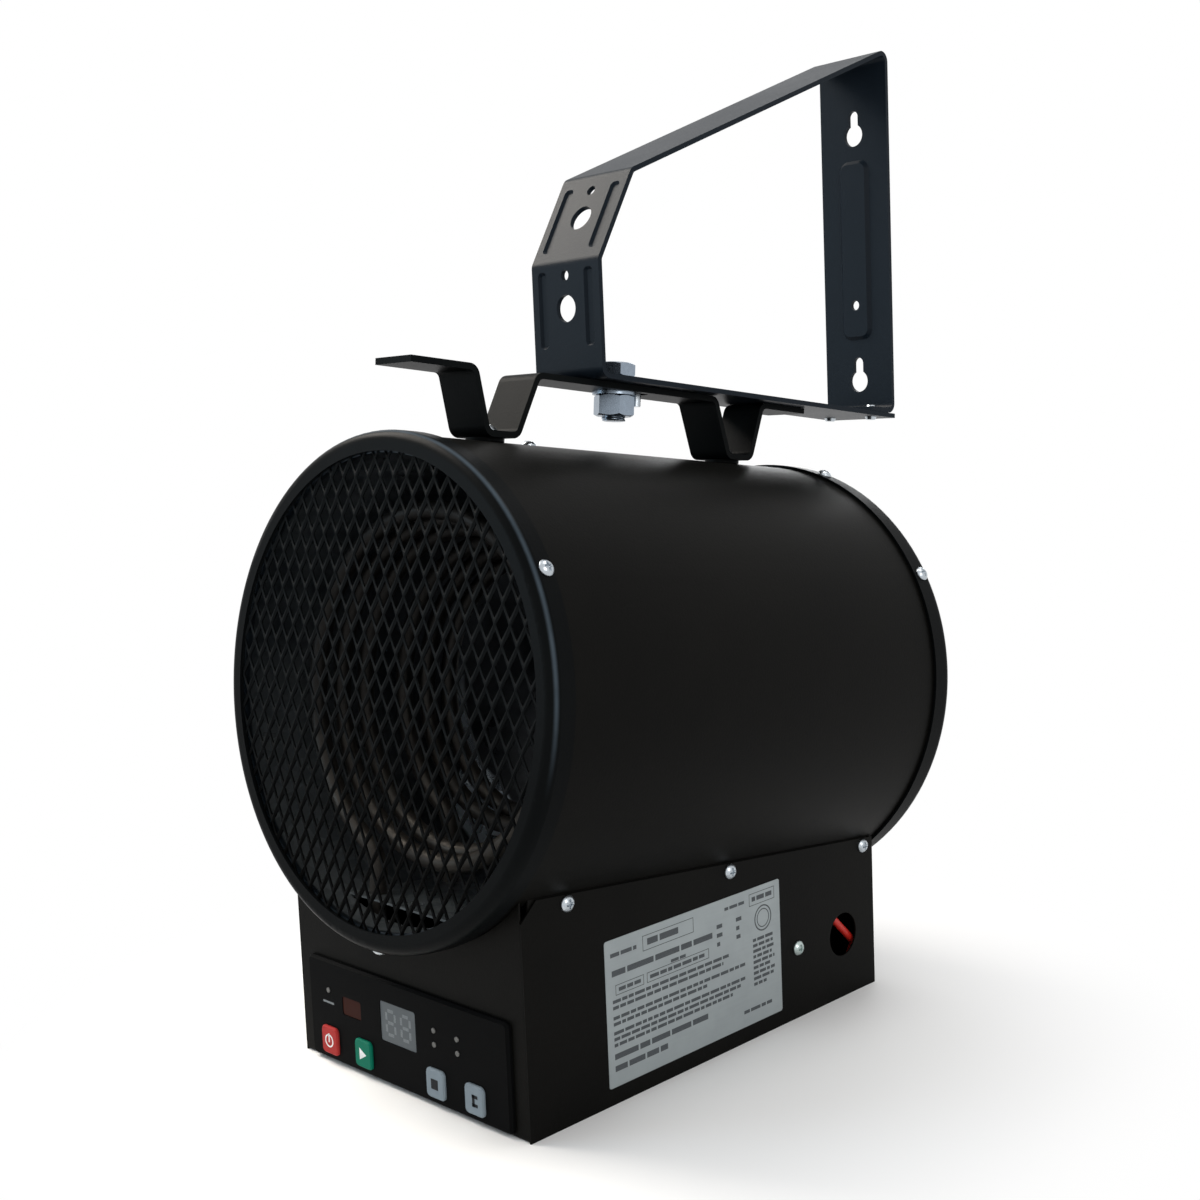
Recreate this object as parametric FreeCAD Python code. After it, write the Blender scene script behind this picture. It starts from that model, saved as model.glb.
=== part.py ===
import FreeCAD, Part
import math
import os

Vector = FreeCAD.Vector
Placement = FreeCAD.Placement
Rotation = FreeCAD.Rotation

# General fits
seat = 0.1
hole_clearance = 0.3
tap_clearance = 0.05
seam_gap = 0.4

# Barrel and its end rings
bezel_radius = 114.3
barrel_overhang = 35.0
barrel_pitch = 5.8
nose_ahead = 8.55
nose_clear = 70.25
ring_sheet = 1.2
ring_fit = 0.3
ring_round = 5.0
front_lip = 12.5
rear_lip = 14.0
front_rim = 9.3
rear_rim = 13.3
wrapper_sheet = 0.8
window_margin = 3.0
flange_drop = 14.0

# Front mesh
mesh_sheet = 1.0
mesh_pitch_across = 12.6
mesh_pitch_up = 23.6
mesh_strand = 1.8
mesh_rim = 4.0

# Inner liner
liner_gap = 7.0
liner_sheet = 0.6
liner_setback = 69.0

# Rear guard
guard_sheet = 1.2
guard_hub_radius = 24.0
guard_slot = 10.4
guard_rib = 4.4
guard_spoke = 5.0
guard_spokes = 6

# Control box
box_width = 161.2
box_length = 246.0
box_sheet = 0.8
box_bend = 1.0
corner_cut = 9.0
knockout_radius = 11.1
knockout_inset = 26.9
knockout_height = 32.6

# Control face plate
fascia_margin = 9.1
fascia_bottom = 1.5
fascia_height = 49.0
fascia_depth = 2.5
fascia_bevel = 1.2
fascia_round = 2.5
fascia_land = 2.6
display_across = -3.2
display_width = 25.4
display_height = 18.6
display_level = 31.0
receiver_beyond = 8.6
receiver_width = 14.0
receiver_height = 8.6
window_depth = 1.8
window_sink = 0.3
lamp_radius = 1.2
lamp_proud = 0.4
power_lamp_level = 36.0
lamp_group_beyond = 7.6
lamp_group_level = 32.4
lamp_spacing_across = 15.8
lamp_spacing_up = 6.4

# Push buttons
button_inset = 15.9
button_level = 11.5
button_width = 12.4
button_height = 13.4
button_round = 2.4
button_proud = 1.4
button_fit = 0.25
button_ear = 1.4
button_ear_depth = 1.2
button_travel = 0.6
button_spare = 0.1
plunger_radius = 1.8

# Control board
board_sheet = 1.6
board_margin = 4.5
board_behind = 10.0
post_radius = 2.5
post_inset = 7.0
post_low = 23.0
post_high = 44.5
switch_width = 6.0
switch_depth = 3.3

# Heating elements
element_tube_radius = 4.2
element_turns = 3
element_pitch = 11.0
element_first = 27.0
element_spacing = 43.0
element_taper = 10.0
element_gap = 22.4
loop_step = 12.0
leg_offset = 27.0
leg_bend = 16.0
leg_below_plate = 14.0
gap_step = 4.0
terminal_pin_radius = 2.0
terminal_pin_length = 8.0
plate_width = 74.0
plate_sheet = 1.0
plate_margin = 9.0

# Fan and motor
fan_gap = 7.4
fan_hub_radius = 17.0
fan_hub_length = 24.0
fan_setback = 95.0
blade_count = 5
blade_sheet = 1.5
blade_root_chord = 30.0
blade_tip_chord = 66.0
blade_root_angle = 38.0
blade_tip_angle = 24.0
blade_waist_chord = 53.0
blade_tip_inset = 8.0
shaft_radius = 4.0
shaft_fit = 0.05
shaft_relief = 1.2
bar_gap = 6.0
bar_sheet = 2.0
bar_width = 30.0
bar_tab = 14.0
motor_radius = 42.0
motor_cap_radius = 28.0
motor_length = 34.0
motor_cap_length = 9.0
motor_screw_spread = 27.0

# Hanging strap
strap_width = 25.2
strap_sheet = 3.0
strap_bend = 3.0
strap_behind = 4.3
strap_height = 33.4
strap_inset = 2.5
strap_tongue = 35.5
strap_outer_run = 8.5
strap_foot = 20.0
strap_inner_run = 12.0
spacer_radius = 9.0
spacer_sheet = 1.6

# Wall bracket
strip_width = 46.0
strip_sheet = 2.5
strip_bend = 3.0
bracket_ahead = 31.3
bracket_depth = 241.0
wall_plate_height = 207.0
front_plate_height = 56.0
front_hole_rise = 34.0
slant_length = 50.0
slant_angle = 60.0
tab_length = 22.0
lap_gap = 0.1
keyhole_radius = 6.25
keyhole_slot = 6.6
keyhole_rise = 10.5
keyhole_low = 19.9
keyhole_spacing = 141.6
pad_width = 20.5
pad_height = 103.0
pad_low = 44.0
pad_depth = 2.0
pad_round = 6.0
pad_hole_radius = 2.8
pad_hole_rise = 20.0
bead_width = 6.0
bead_spread = 15.8
bead_length = 37.0
bead_depth = 1.3
bead_round = 2.4
rivet_radius = 2.0
rivet_head_radius = 3.4
rivet_head = 1.6
rivet_spread = 14.5
rivet_inset = 12.0

# Swivel fasteners
bolt_radius = 6.0
bolt_clearance = 0.5
bolt_head = 7.0
bolt_nut = 10.5
bolt_flats = 18.0
bolt_tail = 2.5
washer_radius = 11.0
washer_sheet = 1.6
lock_radius = 2.5
lock_reach = 15.7
lock_slot_fit = 0.35
lock_head_radius = 4.2
lock_head = 2.6
lock_below = 6.0
swivel_range = 20.0

# Sheet screws
screw_radius = 1.9
screw_head_radius = 3.7
screw_head = 2.2
screw_length = 6.5
strap_screw_radius = 3.0
strap_screw_head_radius = 5.6
strap_screw_head = 3.4
strap_nut = 4.6
strap_nut_flats = 10.0
front_screw_setback = 8.6
front_screw_angle = 30.0
rear_screw_setback = 8.0
rear_screw_low = 30.0
rear_screw_high = 72.0
side_screw_front_inset = 21.9
side_screw_rear_inset = 4.4
side_screw_count = 3
side_screw_drop = 3.8
liner_screw_behind = 88.0

# Box interior
ground_screw_ahead = 37.3
ground_screw_height = 35.4
block_length = 38.0
block_height = 22.0
block_depth = 16.0
relay_width = 50.0
relay_length = 36.0
relay_clear = 17.1
relay_behind = 15.0
thermostat_radius = 9.0
thermostat_height = 7.0
thermostat_setback = 46.4
lead_radius = 1.9
lead_bend = 7.0
lead_floor_gap = 5.7
lead_turn_behind = 15.5
lead_drop = 8.9
lead_tail = 21.0

os.makedirs("parts", exist_ok=True)

box_front = -box_length / 2
barrel_length = box_length + barrel_overhang
nose_height = bezel_radius + nose_clear
fascia_width = box_width - 2 * fascia_margin
button_pitch = (fascia_width / 2 + display_across - button_inset) / 2
nose = Vector(0, box_front - nose_ahead, nose_height)
barrel = Placement(nose, Rotation(Vector(1, 0, 0), -barrel_pitch))
slope_sin = math.sin(math.radians(barrel_pitch))
slope_cos = math.cos(math.radians(barrel_pitch))
across = Vector(1, 0, 0)
back = Vector(0, 1, 0)
up = Vector(0, 0, 1)


def save(name, shape):
    shape.exportStep("parts/" + name + ".step")


def on_barrel(shape):
    placed = shape.copy()
    placed.Placement = barrel.multiply(placed.Placement)
    return placed


def aimed(shape, point, direction):
    placed = shape.copy()
    placed.Placement = Placement(point, Rotation(up, direction)).multiply(placed.Placement)
    return placed


def group(shapes):
    return Part.makeCompound(shapes)


def rod(radius, start, direction, length):
    return Part.makeCylinder(radius, length, start, direction)


def block(x_low, x_high, y_low, y_high, z_low, z_high):
    return Part.makeBox(x_high - x_low, y_high - y_low, z_high - z_low, Vector(x_low, y_low, z_low))


def turned(points):
    corners = [Vector(radius, along, 0) for radius, along in points]
    wire = Part.makePolygon(corners + corners[:1])
    return Part.Face(wire).revolve(Vector(), back, 360)


def tube(outer, inner, start, length):
    return rod(outer, Vector(0, start, 0), back, length).cut(rod(inner, Vector(0, start, 0), back, length))


def rounded_wire(corners, radii):
    starts = []
    middles = []
    ends = []
    count = len(corners)
    for index in range(count):
        corner = corners[index]
        before = (corners[index - 1] - corner).normalize()
        after = (corners[(index + 1) % count] - corner).normalize()
        half = before.getAngle(after) / 2
        reach = radii[index] / math.tan(half)
        inward = (before + after).normalize() if radii[index] else Vector()
        starts.append(corner + before * reach)
        ends.append(corner + after * reach)
        middles.append(corner + inward * (radii[index] / math.sin(half) - radii[index]))
    edges = []
    for index in range(count):
        if radii[index]:
            edges.append(Part.Arc(starts[index], middles[index], ends[index]).toShape())
        edges.append(Part.makeLine(ends[index], starts[(index + 1) % count]))
    return Part.Wire(edges)


def rounded_plate(width, height, radius, depth, centre):
    low = centre - across * (width / 2) - up * (height / 2)
    corners = [low, low + across * width, low + across * width + up * height, low + up * height]
    return Part.Face(rounded_wire(corners, [radius] * 4)).extrude(back * depth)


def bent_strip(path, thickness, bend, width):
    points = [Vector(0, along, rise) for along, rise in path]
    last = len(points) - 1
    ways = [(points[index + 1] - points[index]).normalize() for index in range(last)]
    sides = [across.cross(way) for way in ways]
    inner = [points[0] + sides[0] * thickness]
    outer_radii = [0.0]
    inner_radii = [0.0]
    for index in range(1, last):
        mitre = (sides[index - 1] + sides[index]).normalize()
        inner.append(points[index] + mitre * (thickness / mitre.dot(sides[index])))
        turns_in = ways[index - 1].cross(ways[index]).dot(across) > 0
        outer_radii.append(bend + thickness if turns_in else bend)
        inner_radii.append(bend if turns_in else bend + thickness)
    inner.append(points[last] + sides[-1] * thickness)
    corners = points + inner[::-1]
    radii = outer_radii + [0.0, 0.0] + inner_radii[:0:-1] + [0.0]
    face = Part.Face(rounded_wire(corners, radii))
    return face.extrude(across * width).translated(across * (-width / 2))


def pan_screw(radius, head_radius, head, length):
    dome = Part.makeCone(head_radius, head_radius - head / 2, head)
    return dome.fuse(rod(radius, Vector(), -up, length))


def hexagon(flats, height, start):
    reach = flats / math.sqrt(3)
    turns = [math.radians(60 * index) for index in range(7)]
    corners = [start + Vector(reach * math.cos(turn), reach * math.sin(turn), 0) for turn in turns]
    return Part.Face(Part.makePolygon(corners)).extrude(up * height)


def pressed(width, height, depth, radius, centre, inward, upright):
    side = upright.cross(inward)
    loops = []
    for level in (0.0, depth):
        half_width = width / 2 - level
        half_height = height / 2 - level
        middle = centre + inward * level
        low = middle - side * half_width - upright * half_height
        high = middle + side * half_width + upright * half_height
        corners = [low, low + side * (2 * half_width), high, high - side * (2 * half_width)]
        loops.append(rounded_wire(corners, [radius - level] * 4))
    return Part.makeLoft(loops, True, True)


# End rings: a rounded collar over the wrapper and a flat annulus
wrapper_radius = bezel_radius - ring_sheet - ring_fit
wrapper_inner = wrapper_radius - wrapper_sheet
front_opening_radius = bezel_radius - front_rim
rear_opening_radius = bezel_radius - rear_rim


def end_ring(lip, opening):
    inside = bezel_radius - ring_sheet
    corners = [Vector(bezel_radius, lip, 0), Vector(bezel_radius, 0, 0), Vector(opening, 0, 0)]
    corners += [Vector(opening, ring_sheet, 0), Vector(inside, ring_sheet, 0), Vector(inside, lip, 0)]
    radii = [0.0, ring_round, 0.0, 0.0, ring_round - ring_sheet, 0.0]
    return Part.Face(rounded_wire(corners, radii)).revolve(Vector(), back, 360)


front_bezel = end_ring(front_lip, front_opening_radius)
rear_ring = end_ring(rear_lip, rear_opening_radius)
rear_ring.rotate(Vector(), up, 180)
rear_ring.translate(back * barrel_length)

# Wrapper: a rolled tube whose underside is opened, with the long edges turned down
wrapper_front = ring_round
wrapper_rear = barrel_length - ring_round
flange_face = box_width / 2 - box_sheet - seat
flange_top = -math.sqrt(wrapper_radius ** 2 - flange_face ** 2)
flange_bottom = flange_top - flange_drop


def along_barrel(row_behind, rise):
    return (row_behind - nose.y - rise * slope_sin) / slope_cos


flange_front = along_barrel(box_front + box_sheet, flange_bottom) + window_margin
flange_rear = along_barrel(-box_front - box_sheet, flange_top) - window_margin
wrapper = tube(wrapper_radius, wrapper_inner, wrapper_front, wrapper_rear - wrapper_front)
window_half = flange_face - wrapper_sheet
window = block(-window_half, window_half, flange_front, flange_rear, -bezel_radius, 0)
wrapper = wrapper.cut(window)
for side in (-1, 1):
    edge = side * flange_face
    sheet_low = min(edge, edge - side * wrapper_sheet)
    sheet_high = sheet_low + wrapper_sheet
    flange_root = flange_top + wrapper_sheet
    flange = block(sheet_low, sheet_high, flange_front, flange_rear, flange_bottom, flange_root)
    wrapper = wrapper.fuse(flange.cut(rod(wrapper_inner, Vector(), back, barrel_length)))
wrapper = wrapper.removeSplitter()

# Mesh: one sheet pierced by staggered diamonds and held behind the bezel
mesh_radius = bezel_radius - ring_round - seat
mesh_front = ring_sheet + seat
mesh_side = math.hypot(mesh_pitch_across, mesh_pitch_up)
cell_share = 1 - mesh_strand * mesh_side / (mesh_pitch_across * mesh_pitch_up)
cell_across = across * (cell_share * mesh_pitch_across / 2)
cell_up = up * (cell_share * mesh_pitch_up / 2)
mesh_middle = Vector(0, mesh_front, 0)
rows = int(2 * mesh_radius / mesh_pitch_up) + 1
columns = int(mesh_radius / mesh_pitch_across) + 1
mesh_wires = [Part.Wire(Part.makeCircle(mesh_radius, mesh_middle, back))]
for row in range(-rows, rows + 1):
    shift = mesh_pitch_across / 2 if row % 2 else 0.0
    for column in range(-columns, columns + 1):
        middle = Vector(column * mesh_pitch_across + shift, mesh_front, row * mesh_pitch_up / 2)
        corners = [middle + cell_across, middle + cell_up, middle - cell_across, middle - cell_up]
        if max(corner.sub(mesh_middle).Length for corner in corners) < mesh_radius - mesh_rim:
            mesh_wires.append(Part.makePolygon(corners + corners[:1]))
front_mesh = Part.makeFace(mesh_wires, "Part::FaceMakerBullseye").extrude(back * mesh_sheet)

# Liner: the hot duct, flared at both ends
liner_front = mesh_front + mesh_sheet + seat
liner_radius = wrapper_inner - liner_gap
liner_inner = liner_radius - liner_sheet
liner_rear = liner_front + barrel_length - liner_setback
flare_radius = wrapper_inner - hole_clearance
front_flare = liner_front + liner_sheet
rear_flare = liner_rear - liner_sheet
liner_profile = [(liner_inner, liner_front), (mesh_radius, liner_front), (mesh_radius, front_flare)]
liner_profile += [(liner_radius, front_flare), (liner_radius, rear_flare), (flare_radius, rear_flare)]
liner_profile += [(flare_radius, liner_rear), (liner_inner, liner_rear)]
inner_liner = turned(liner_profile)

# Element plate: a flat plate across the bottom of the liner
plate_half = plate_width / 2
plate_low = -math.sqrt((liner_inner - seat) ** 2 - plate_half ** 2)
plate_top = plate_low + plate_sheet
plate_front = element_first - plate_margin
plate_rear = element_first + element_spacing + element_turns * element_pitch + plate_margin
element_plate = block(-plate_half, plate_half, plate_front, plate_rear, plate_low, plate_top)
duct_inset = leg_offset + 2 * element_tube_radius
duct_window = block(-duct_inset, duct_inset, plate_front + seat, plate_rear - seat, -bezel_radius, plate_low)
inner_liner = inner_liner.cut(duct_window)


# Elements: one bent tube each, a tapering helix with both legs through the plate
def arc_edge(start, way, end):
    chord = end - start
    half = chord.Length / 2
    line = Vector(chord).normalize()
    aside = way - line * way.dot(line)
    bow = half * math.tan(way.getAngle(line) / 2)
    return Part.Arc(start, (start + end) * 0.5 + aside.normalize() * bow, end).toShape()


def biarc(start, way_in, end, way_out):
    gap = end - start
    total = way_in + way_out
    spread = 2 * (1 - way_in.dot(way_out))
    lean = gap.dot(total)
    reach = (math.sqrt(lean ** 2 + spread * gap.dot(gap)) - lean) / spread
    joint = (start + end + (way_in - way_out) * reach) * 0.5
    knot_way = (joint - start - way_in * reach).normalize()
    return [arc_edge(start, way_in, joint), arc_edge(joint, knot_way, end)]


def coil_point(radius, angle, along):
    return Vector(radius * math.cos(angle), along, radius * math.sin(angle))


def element_path(radius, first):
    near_gap = math.asin((leg_offset + leg_bend) / (radius + leg_bend))
    far_gap = math.asin((leg_offset + leg_bend) / (radius - element_taper + leg_bend))
    start_angle = -math.pi / 2 - near_gap
    sweep = 2 * math.pi * element_turns - near_gap - far_gap
    rise = element_pitch * element_turns / sweep
    shrink = element_taper / sweep
    steps = 2 * element_turns
    points = []
    ways = []
    for step in range(steps + 1):
        turn = sweep * step / steps
        angle = start_angle - turn
        reach = radius - shrink * turn
        points.append(coil_point(reach, angle, first + rise * turn))
        way = coil_point(-shrink, angle, rise) + Vector(math.sin(angle), 0, -math.cos(angle)) * reach
        ways.append(way.normalize())
    foot = plate_low - leg_below_plate
    edges = []
    near_knee = Vector(-leg_offset, first, points[0].z - leg_bend)
    far_knee = Vector(leg_offset, points[-1].y, points[-1].z - leg_bend)
    edges.append(Part.makeLine(Vector(-leg_offset, first, foot), near_knee))
    edges += biarc(near_knee, up, points[0], ways[0])
    for step in range(steps):
        edges += biarc(points[step], ways[step], points[step + 1], ways[step + 1])
    edges += biarc(points[-1], ways[-1], far_knee, -up)
    edges.append(Part.makeLine(far_knee, Vector(leg_offset, far_knee.y, foot)))
    return Part.Wire(edges)


def tube_element(radius, first):
    path = element_path(radius, first)
    start = path.Edges[0].Vertexes[0].Point
    end = path.Edges[-1].Vertexes[-1].Point
    section = Part.Wire(Part.makeCircle(element_tube_radius, start, up))
    solid = path.makePipeShell([section], True, False)
    pins = [rod(terminal_pin_radius, point, -up, terminal_pin_length) for point in (start, end)]
    return path, solid.fuse(pins)


def self_gap(path):
    points = path.discretize(Distance=gap_step)
    skip = int(math.pi * 2 * element_tube_radius / gap_step)
    least = bezel_radius
    for first_index in range(len(points)):
        for second_index in range(first_index + skip, len(points)):
            least = min(least, points[first_index].distanceToPoint(points[second_index]))
    return least - 2 * element_tube_radius


leg_hole_radius = element_tube_radius + hole_clearance
element_names = ["outer_element", "inner_element"]
outer_loop_radius = liner_inner - element_gap
element_radii = [outer_loop_radius, outer_loop_radius - loop_step]
for index, name in enumerate(element_names):
    first = element_first + index * element_spacing
    last = first + element_turns * element_pitch
    path, element = tube_element(element_radii[index], first)
    print(name, "least gap to itself", round(self_gap(path), 2))
    for leg in (Vector(-leg_offset, first, plate_low), Vector(leg_offset, last, plate_low)):
        element_plate = element_plate.cut(rod(leg_hole_radius, leg, up, plate_sheet))
    save(name, on_barrel(element))
save("element_plate", on_barrel(element_plate))

# Fan, shaft, motor and the bar that carries it
fan_radius = liner_inner - fan_gap
fan_behind = barrel_length - fan_setback
fan_rear = fan_behind + fan_hub_length


def blade_section(radius, chord, angle):
    turn = math.radians(angle)
    lead = Vector(math.cos(turn), math.sin(turn), 0) * (chord / 2)
    thick = Vector(-math.sin(turn), math.cos(turn), 0) * (blade_sheet / 2)
    centre = Vector(0, fan_behind + fan_hub_length / 2, radius)
    corners = [centre - lead - thick, centre + lead - thick, centre + lead + thick, centre - lead + thick]
    return Part.makePolygon(corners + corners[:1])


fan_hub = rod(fan_hub_radius, Vector(0, fan_behind, 0), back, fan_hub_length)
root_section = blade_section(fan_hub_radius / 2, blade_root_chord / 2, blade_root_angle)
waist_section = blade_section((fan_hub_radius + fan_radius) / 2, blade_waist_chord, blade_tip_angle)
tip_section = blade_section(fan_radius - blade_tip_inset, blade_tip_chord, blade_tip_angle)
blade = Part.makeLoft([root_section, waist_section, tip_section], True, True)
blade = blade.common(rod(fan_radius, Vector(0, fan_behind - bar_gap, 0), back, fan_hub_length + 2 * bar_gap))
blades = []
for index in range(blade_count):
    copy = blade.copy()
    copy.rotate(Vector(), back, 360 * index / blade_count)
    blades.append(copy)
bar_front = fan_rear + bar_gap
motor_front = bar_front + bar_sheet
motor_rear = motor_front + motor_length + motor_cap_length
fan_blade = fan_hub.fuse(blades)
fan_blade = fan_blade.cut(rod(shaft_radius + tap_clearance, Vector(0, fan_behind, 0), back, fan_hub_length))
shaft_length = motor_rear - fan_behind - shaft_radius
fan_shaft = rod(shaft_radius, Vector(0, fan_behind, 0), back, shaft_length)
motor_face = motor_front + seat
motor_step = motor_front + motor_length
motor_profile = [(0, motor_face), (motor_radius, motor_face), (motor_radius, motor_step)]
motor_profile += [(motor_cap_radius, motor_step), (motor_cap_radius, motor_rear), (0, motor_rear)]
fan_motor = turned(motor_profile)
bearing_depth = fan_behind + shaft_length + seat - motor_front
fan_motor = fan_motor.cut(rod(shaft_radius + shaft_fit, Vector(0, motor_front, 0), back, bearing_depth))
bar_half = math.sqrt((wrapper_inner - seat) ** 2 - (bar_width / 2) ** 2)
motor_bar = block(-bar_half, bar_half, bar_front, motor_front, -bar_width / 2, bar_width / 2)
for side in (-1, 1):
    tab_low = min(side * bar_half, side * (bar_half - bar_sheet))
    tab = block(tab_low, tab_low + bar_sheet, bar_front, bar_front + bar_tab, -bar_width / 2, bar_width / 2)
    motor_bar = motor_bar.fuse(tab)
motor_bar = motor_bar.cut(rod(shaft_radius + shaft_relief, Vector(0, bar_front, 0), back, bar_sheet))
motor_screws = []
for side in (-1, 1):
    spot = Vector(side * motor_screw_spread, bar_front, 0)
    motor_screw = pan_screw(screw_radius, screw_head_radius, screw_head, screw_length)
    motor_screws.append(aimed(motor_screw, spot, -back))
    tapped = rod(screw_radius + tap_clearance, spot, back, screw_length + seat)
    motor_bar = motor_bar.cut(tapped)
    fan_motor = fan_motor.cut(tapped)
motor_bar = motor_bar.removeSplitter()
save("fan_blade", on_barrel(fan_blade))
save("fan_shaft", on_barrel(fan_shaft))
save("fan_motor", on_barrel(fan_motor))
save("motor_bar", on_barrel(motor_bar))
save("motor_screws", on_barrel(group(motor_screws)))

# Rear guard: a stamped disc with rings of arc slots between straight spokes
guard_radius = bezel_radius - ring_round - seat
guard_rear = barrel_length - ring_sheet - seat
guard_front = guard_rear - guard_sheet
guard_wires = [Part.Wire(Part.makeCircle(guard_radius, Vector(0, guard_front, 0), back))]
guard_step = 2 * math.pi / guard_spokes
slot_inner = guard_hub_radius
while slot_inner + guard_slot < rear_opening_radius:
    slot_outer = slot_inner + guard_slot
    for index in range(guard_spokes):
        low_in = index * guard_step + math.asin(guard_spoke / 2 / slot_inner)
        high_in = (index + 1) * guard_step - math.asin(guard_spoke / 2 / slot_inner)
        low_out = index * guard_step + math.asin(guard_spoke / 2 / slot_outer)
        high_out = (index + 1) * guard_step - math.asin(guard_spoke / 2 / slot_outer)
        middle = (index + 0.5) * guard_step
        inner_arc = Part.Arc(
            coil_point(slot_inner, low_in, guard_front),
            coil_point(slot_inner, middle, guard_front),
            coil_point(slot_inner, high_in, guard_front),
        )
        outer_arc = Part.Arc(
            coil_point(slot_outer, high_out, guard_front),
            coil_point(slot_outer, middle, guard_front),
            coil_point(slot_outer, low_out, guard_front),
        )
        rise_line = Part.makeLine(inner_arc.EndPoint, outer_arc.StartPoint)
        fall_line = Part.makeLine(outer_arc.EndPoint, inner_arc.StartPoint)
        guard_wires.append(Part.Wire([inner_arc.toShape(), rise_line, outer_arc.toShape(), fall_line]))
    slot_inner = slot_outer + guard_rib
rear_guard = Part.makeFace(guard_wires, "Part::FaceMakerBullseye").extrude(back * guard_sheet)
save("rear_guard", on_barrel(rear_guard))
save("front_mesh", on_barrel(front_mesh))

# Ring screws around the barrel
ring_screw = pan_screw(screw_radius, screw_head_radius, screw_head, screw_length - seat)


def ring_screw_set(angles, along):
    screws = []
    holes = []
    for angle in angles:
        turn = math.radians(angle)
        outward = Vector(math.cos(turn), 0, math.sin(turn))
        spot = outward * (bezel_radius + tap_clearance) + back * along
        screws.append(aimed(ring_screw, spot, outward))
        holes.append(rod(screw_radius + tap_clearance, spot, -outward, screw_length + seat))
    return screws, holes


front_angles = [front_screw_angle, 180 - front_screw_angle, 270]
rear_angles = [rear_screw_low, rear_screw_high, 180 - rear_screw_high, 180 - rear_screw_low]
bezel_screws, bezel_holes = ring_screw_set(front_angles, front_screw_setback)
rear_screws, rear_holes = ring_screw_set(rear_angles, barrel_length - rear_screw_setback)
front_bezel = front_bezel.cut(bezel_holes)
rear_ring = rear_ring.cut(rear_holes)
wrapper = wrapper.cut(bezel_holes + rear_holes)
save("bezel_screws", on_barrel(group(bezel_screws)))
save("rear_screws", on_barrel(group(rear_screws)))
save("front_bezel", on_barrel(front_bezel))
save("rear_ring", on_barrel(rear_ring))

# Liner screw on top of the barrel
liner_spot = Vector(0, liner_screw_behind, wrapper_radius + tap_clearance)
liner_reach = wrapper_radius - liner_inner + screw_radius
liner_screw = aimed(pan_screw(screw_radius, screw_head_radius, screw_head, liner_reach), liner_spot, up)
liner_hole = rod(screw_radius + tap_clearance, liner_spot, -up, liner_reach + seat)
wrapper = wrapper.cut(liner_hole)
inner_liner = inner_liner.cut(liner_hole)
save("liner_screw", on_barrel(liner_screw))
save("inner_liner", on_barrel(inner_liner))

# Strap: one strip with two hat-shaped feet along the top of the barrel
foot_low = wrapper_radius + tap_clearance + spacer_sheet
strap_low = foot_low + strap_height - strap_sheet - spacer_sheet
strap_top = strap_low + strap_sheet
strap_middle = barrel_length / 2 + strap_behind
strap_end = barrel_length / 2 - strap_inset
strap_outer_bend = strap_end - strap_tongue
strap_foot_outer = strap_outer_bend - strap_outer_run
strap_foot_inner = strap_foot_outer - strap_foot
strap_inner_bend = strap_foot_inner - strap_inner_run
strap_path = [
    (strap_middle - strap_end, strap_low),
    (strap_middle - strap_outer_bend, strap_low),
    (strap_middle - strap_foot_outer, foot_low),
    (strap_middle - strap_foot_inner, foot_low),
    (strap_middle - strap_inner_bend, strap_low),
    (strap_middle + strap_inner_bend, strap_low),
    (strap_middle + strap_foot_inner, foot_low),
    (strap_middle + strap_foot_outer, foot_low),
    (strap_middle + strap_outer_bend, strap_low),
    (strap_middle + strap_end, strap_low),
]
strap = bent_strip(strap_path, strap_sheet, strap_bend, strap_width)
strap_screws = []
strap_nuts = []
spacers = []
foot_middle = (strap_foot_outer + strap_foot_inner) / 2
nut_top = wrapper_inner - strap_nut_flats ** 2 / wrapper_inner / 4
for side in (-1, 1):
    spot = Vector(0, strap_middle + side * foot_middle, foot_low + strap_sheet)
    grip = spot.z - nut_top + strap_nut
    stud = pan_screw(strap_screw_radius, strap_screw_head_radius, strap_screw_head, grip)
    strap_screws.append(aimed(stud, spot, up))
    clear = rod(strap_screw_radius + hole_clearance, spot, -up, grip)
    strap = strap.cut(clear)
    wrapper = wrapper.cut(clear)
    spacer = rod(spacer_radius, Vector(0, spot.y, foot_low), -up, spacer_sheet)
    spacers.append(spacer.cut(clear))
    nut = hexagon(strap_nut_flats, strap_nut, Vector(0, spot.y, nut_top - strap_nut))
    strap_nuts.append(nut.cut(rod(strap_screw_radius + tap_clearance, spot, -up, grip)))
save("strap_screws", on_barrel(group(strap_screws)))
save("strap_nuts", on_barrel(group(strap_nuts)))
save("strap_spacers", on_barrel(group(spacers)))

# Swivel bolt through the strap with an arc slot for the lock screw behind it
bolt_hole = bolt_radius + bolt_clearance
pivot = Vector(0, strap_middle, strap_top)
strap = strap.cut(rod(bolt_hole, pivot, -up, strap_sheet))
slot_half = lock_radius + lock_slot_fit
slot_low = Vector(0, strap_middle, strap_low)
ring_outer = Part.makeCylinder(lock_reach + slot_half, strap_sheet, slot_low, up, 2 * swivel_range)
ring_inner = Part.makeCylinder(lock_reach - slot_half, strap_sheet, slot_low, up, 2 * swivel_range)
arc_slot = ring_outer.cut(ring_inner)
arc_slot.rotate(slot_low, up, 90 - swivel_range)
for side in (-1, 1):
    turn = math.radians(90 + side * swivel_range)
    slot_end = slot_low + Vector(math.cos(turn), math.sin(turn), 0) * lock_reach
    arc_slot = arc_slot.fuse(rod(slot_half, slot_end, up, strap_sheet))
strap = strap.cut(arc_slot)
save("hanging_strap", on_barrel(strap))
arm_low = strap_top + seat
arm_top = arm_low + strip_sheet
head_low = arm_top + seat + washer_sheet
clamp_top = strap_low - washer_sheet
bolt_end = clamp_top - bolt_nut - bolt_tail
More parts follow.
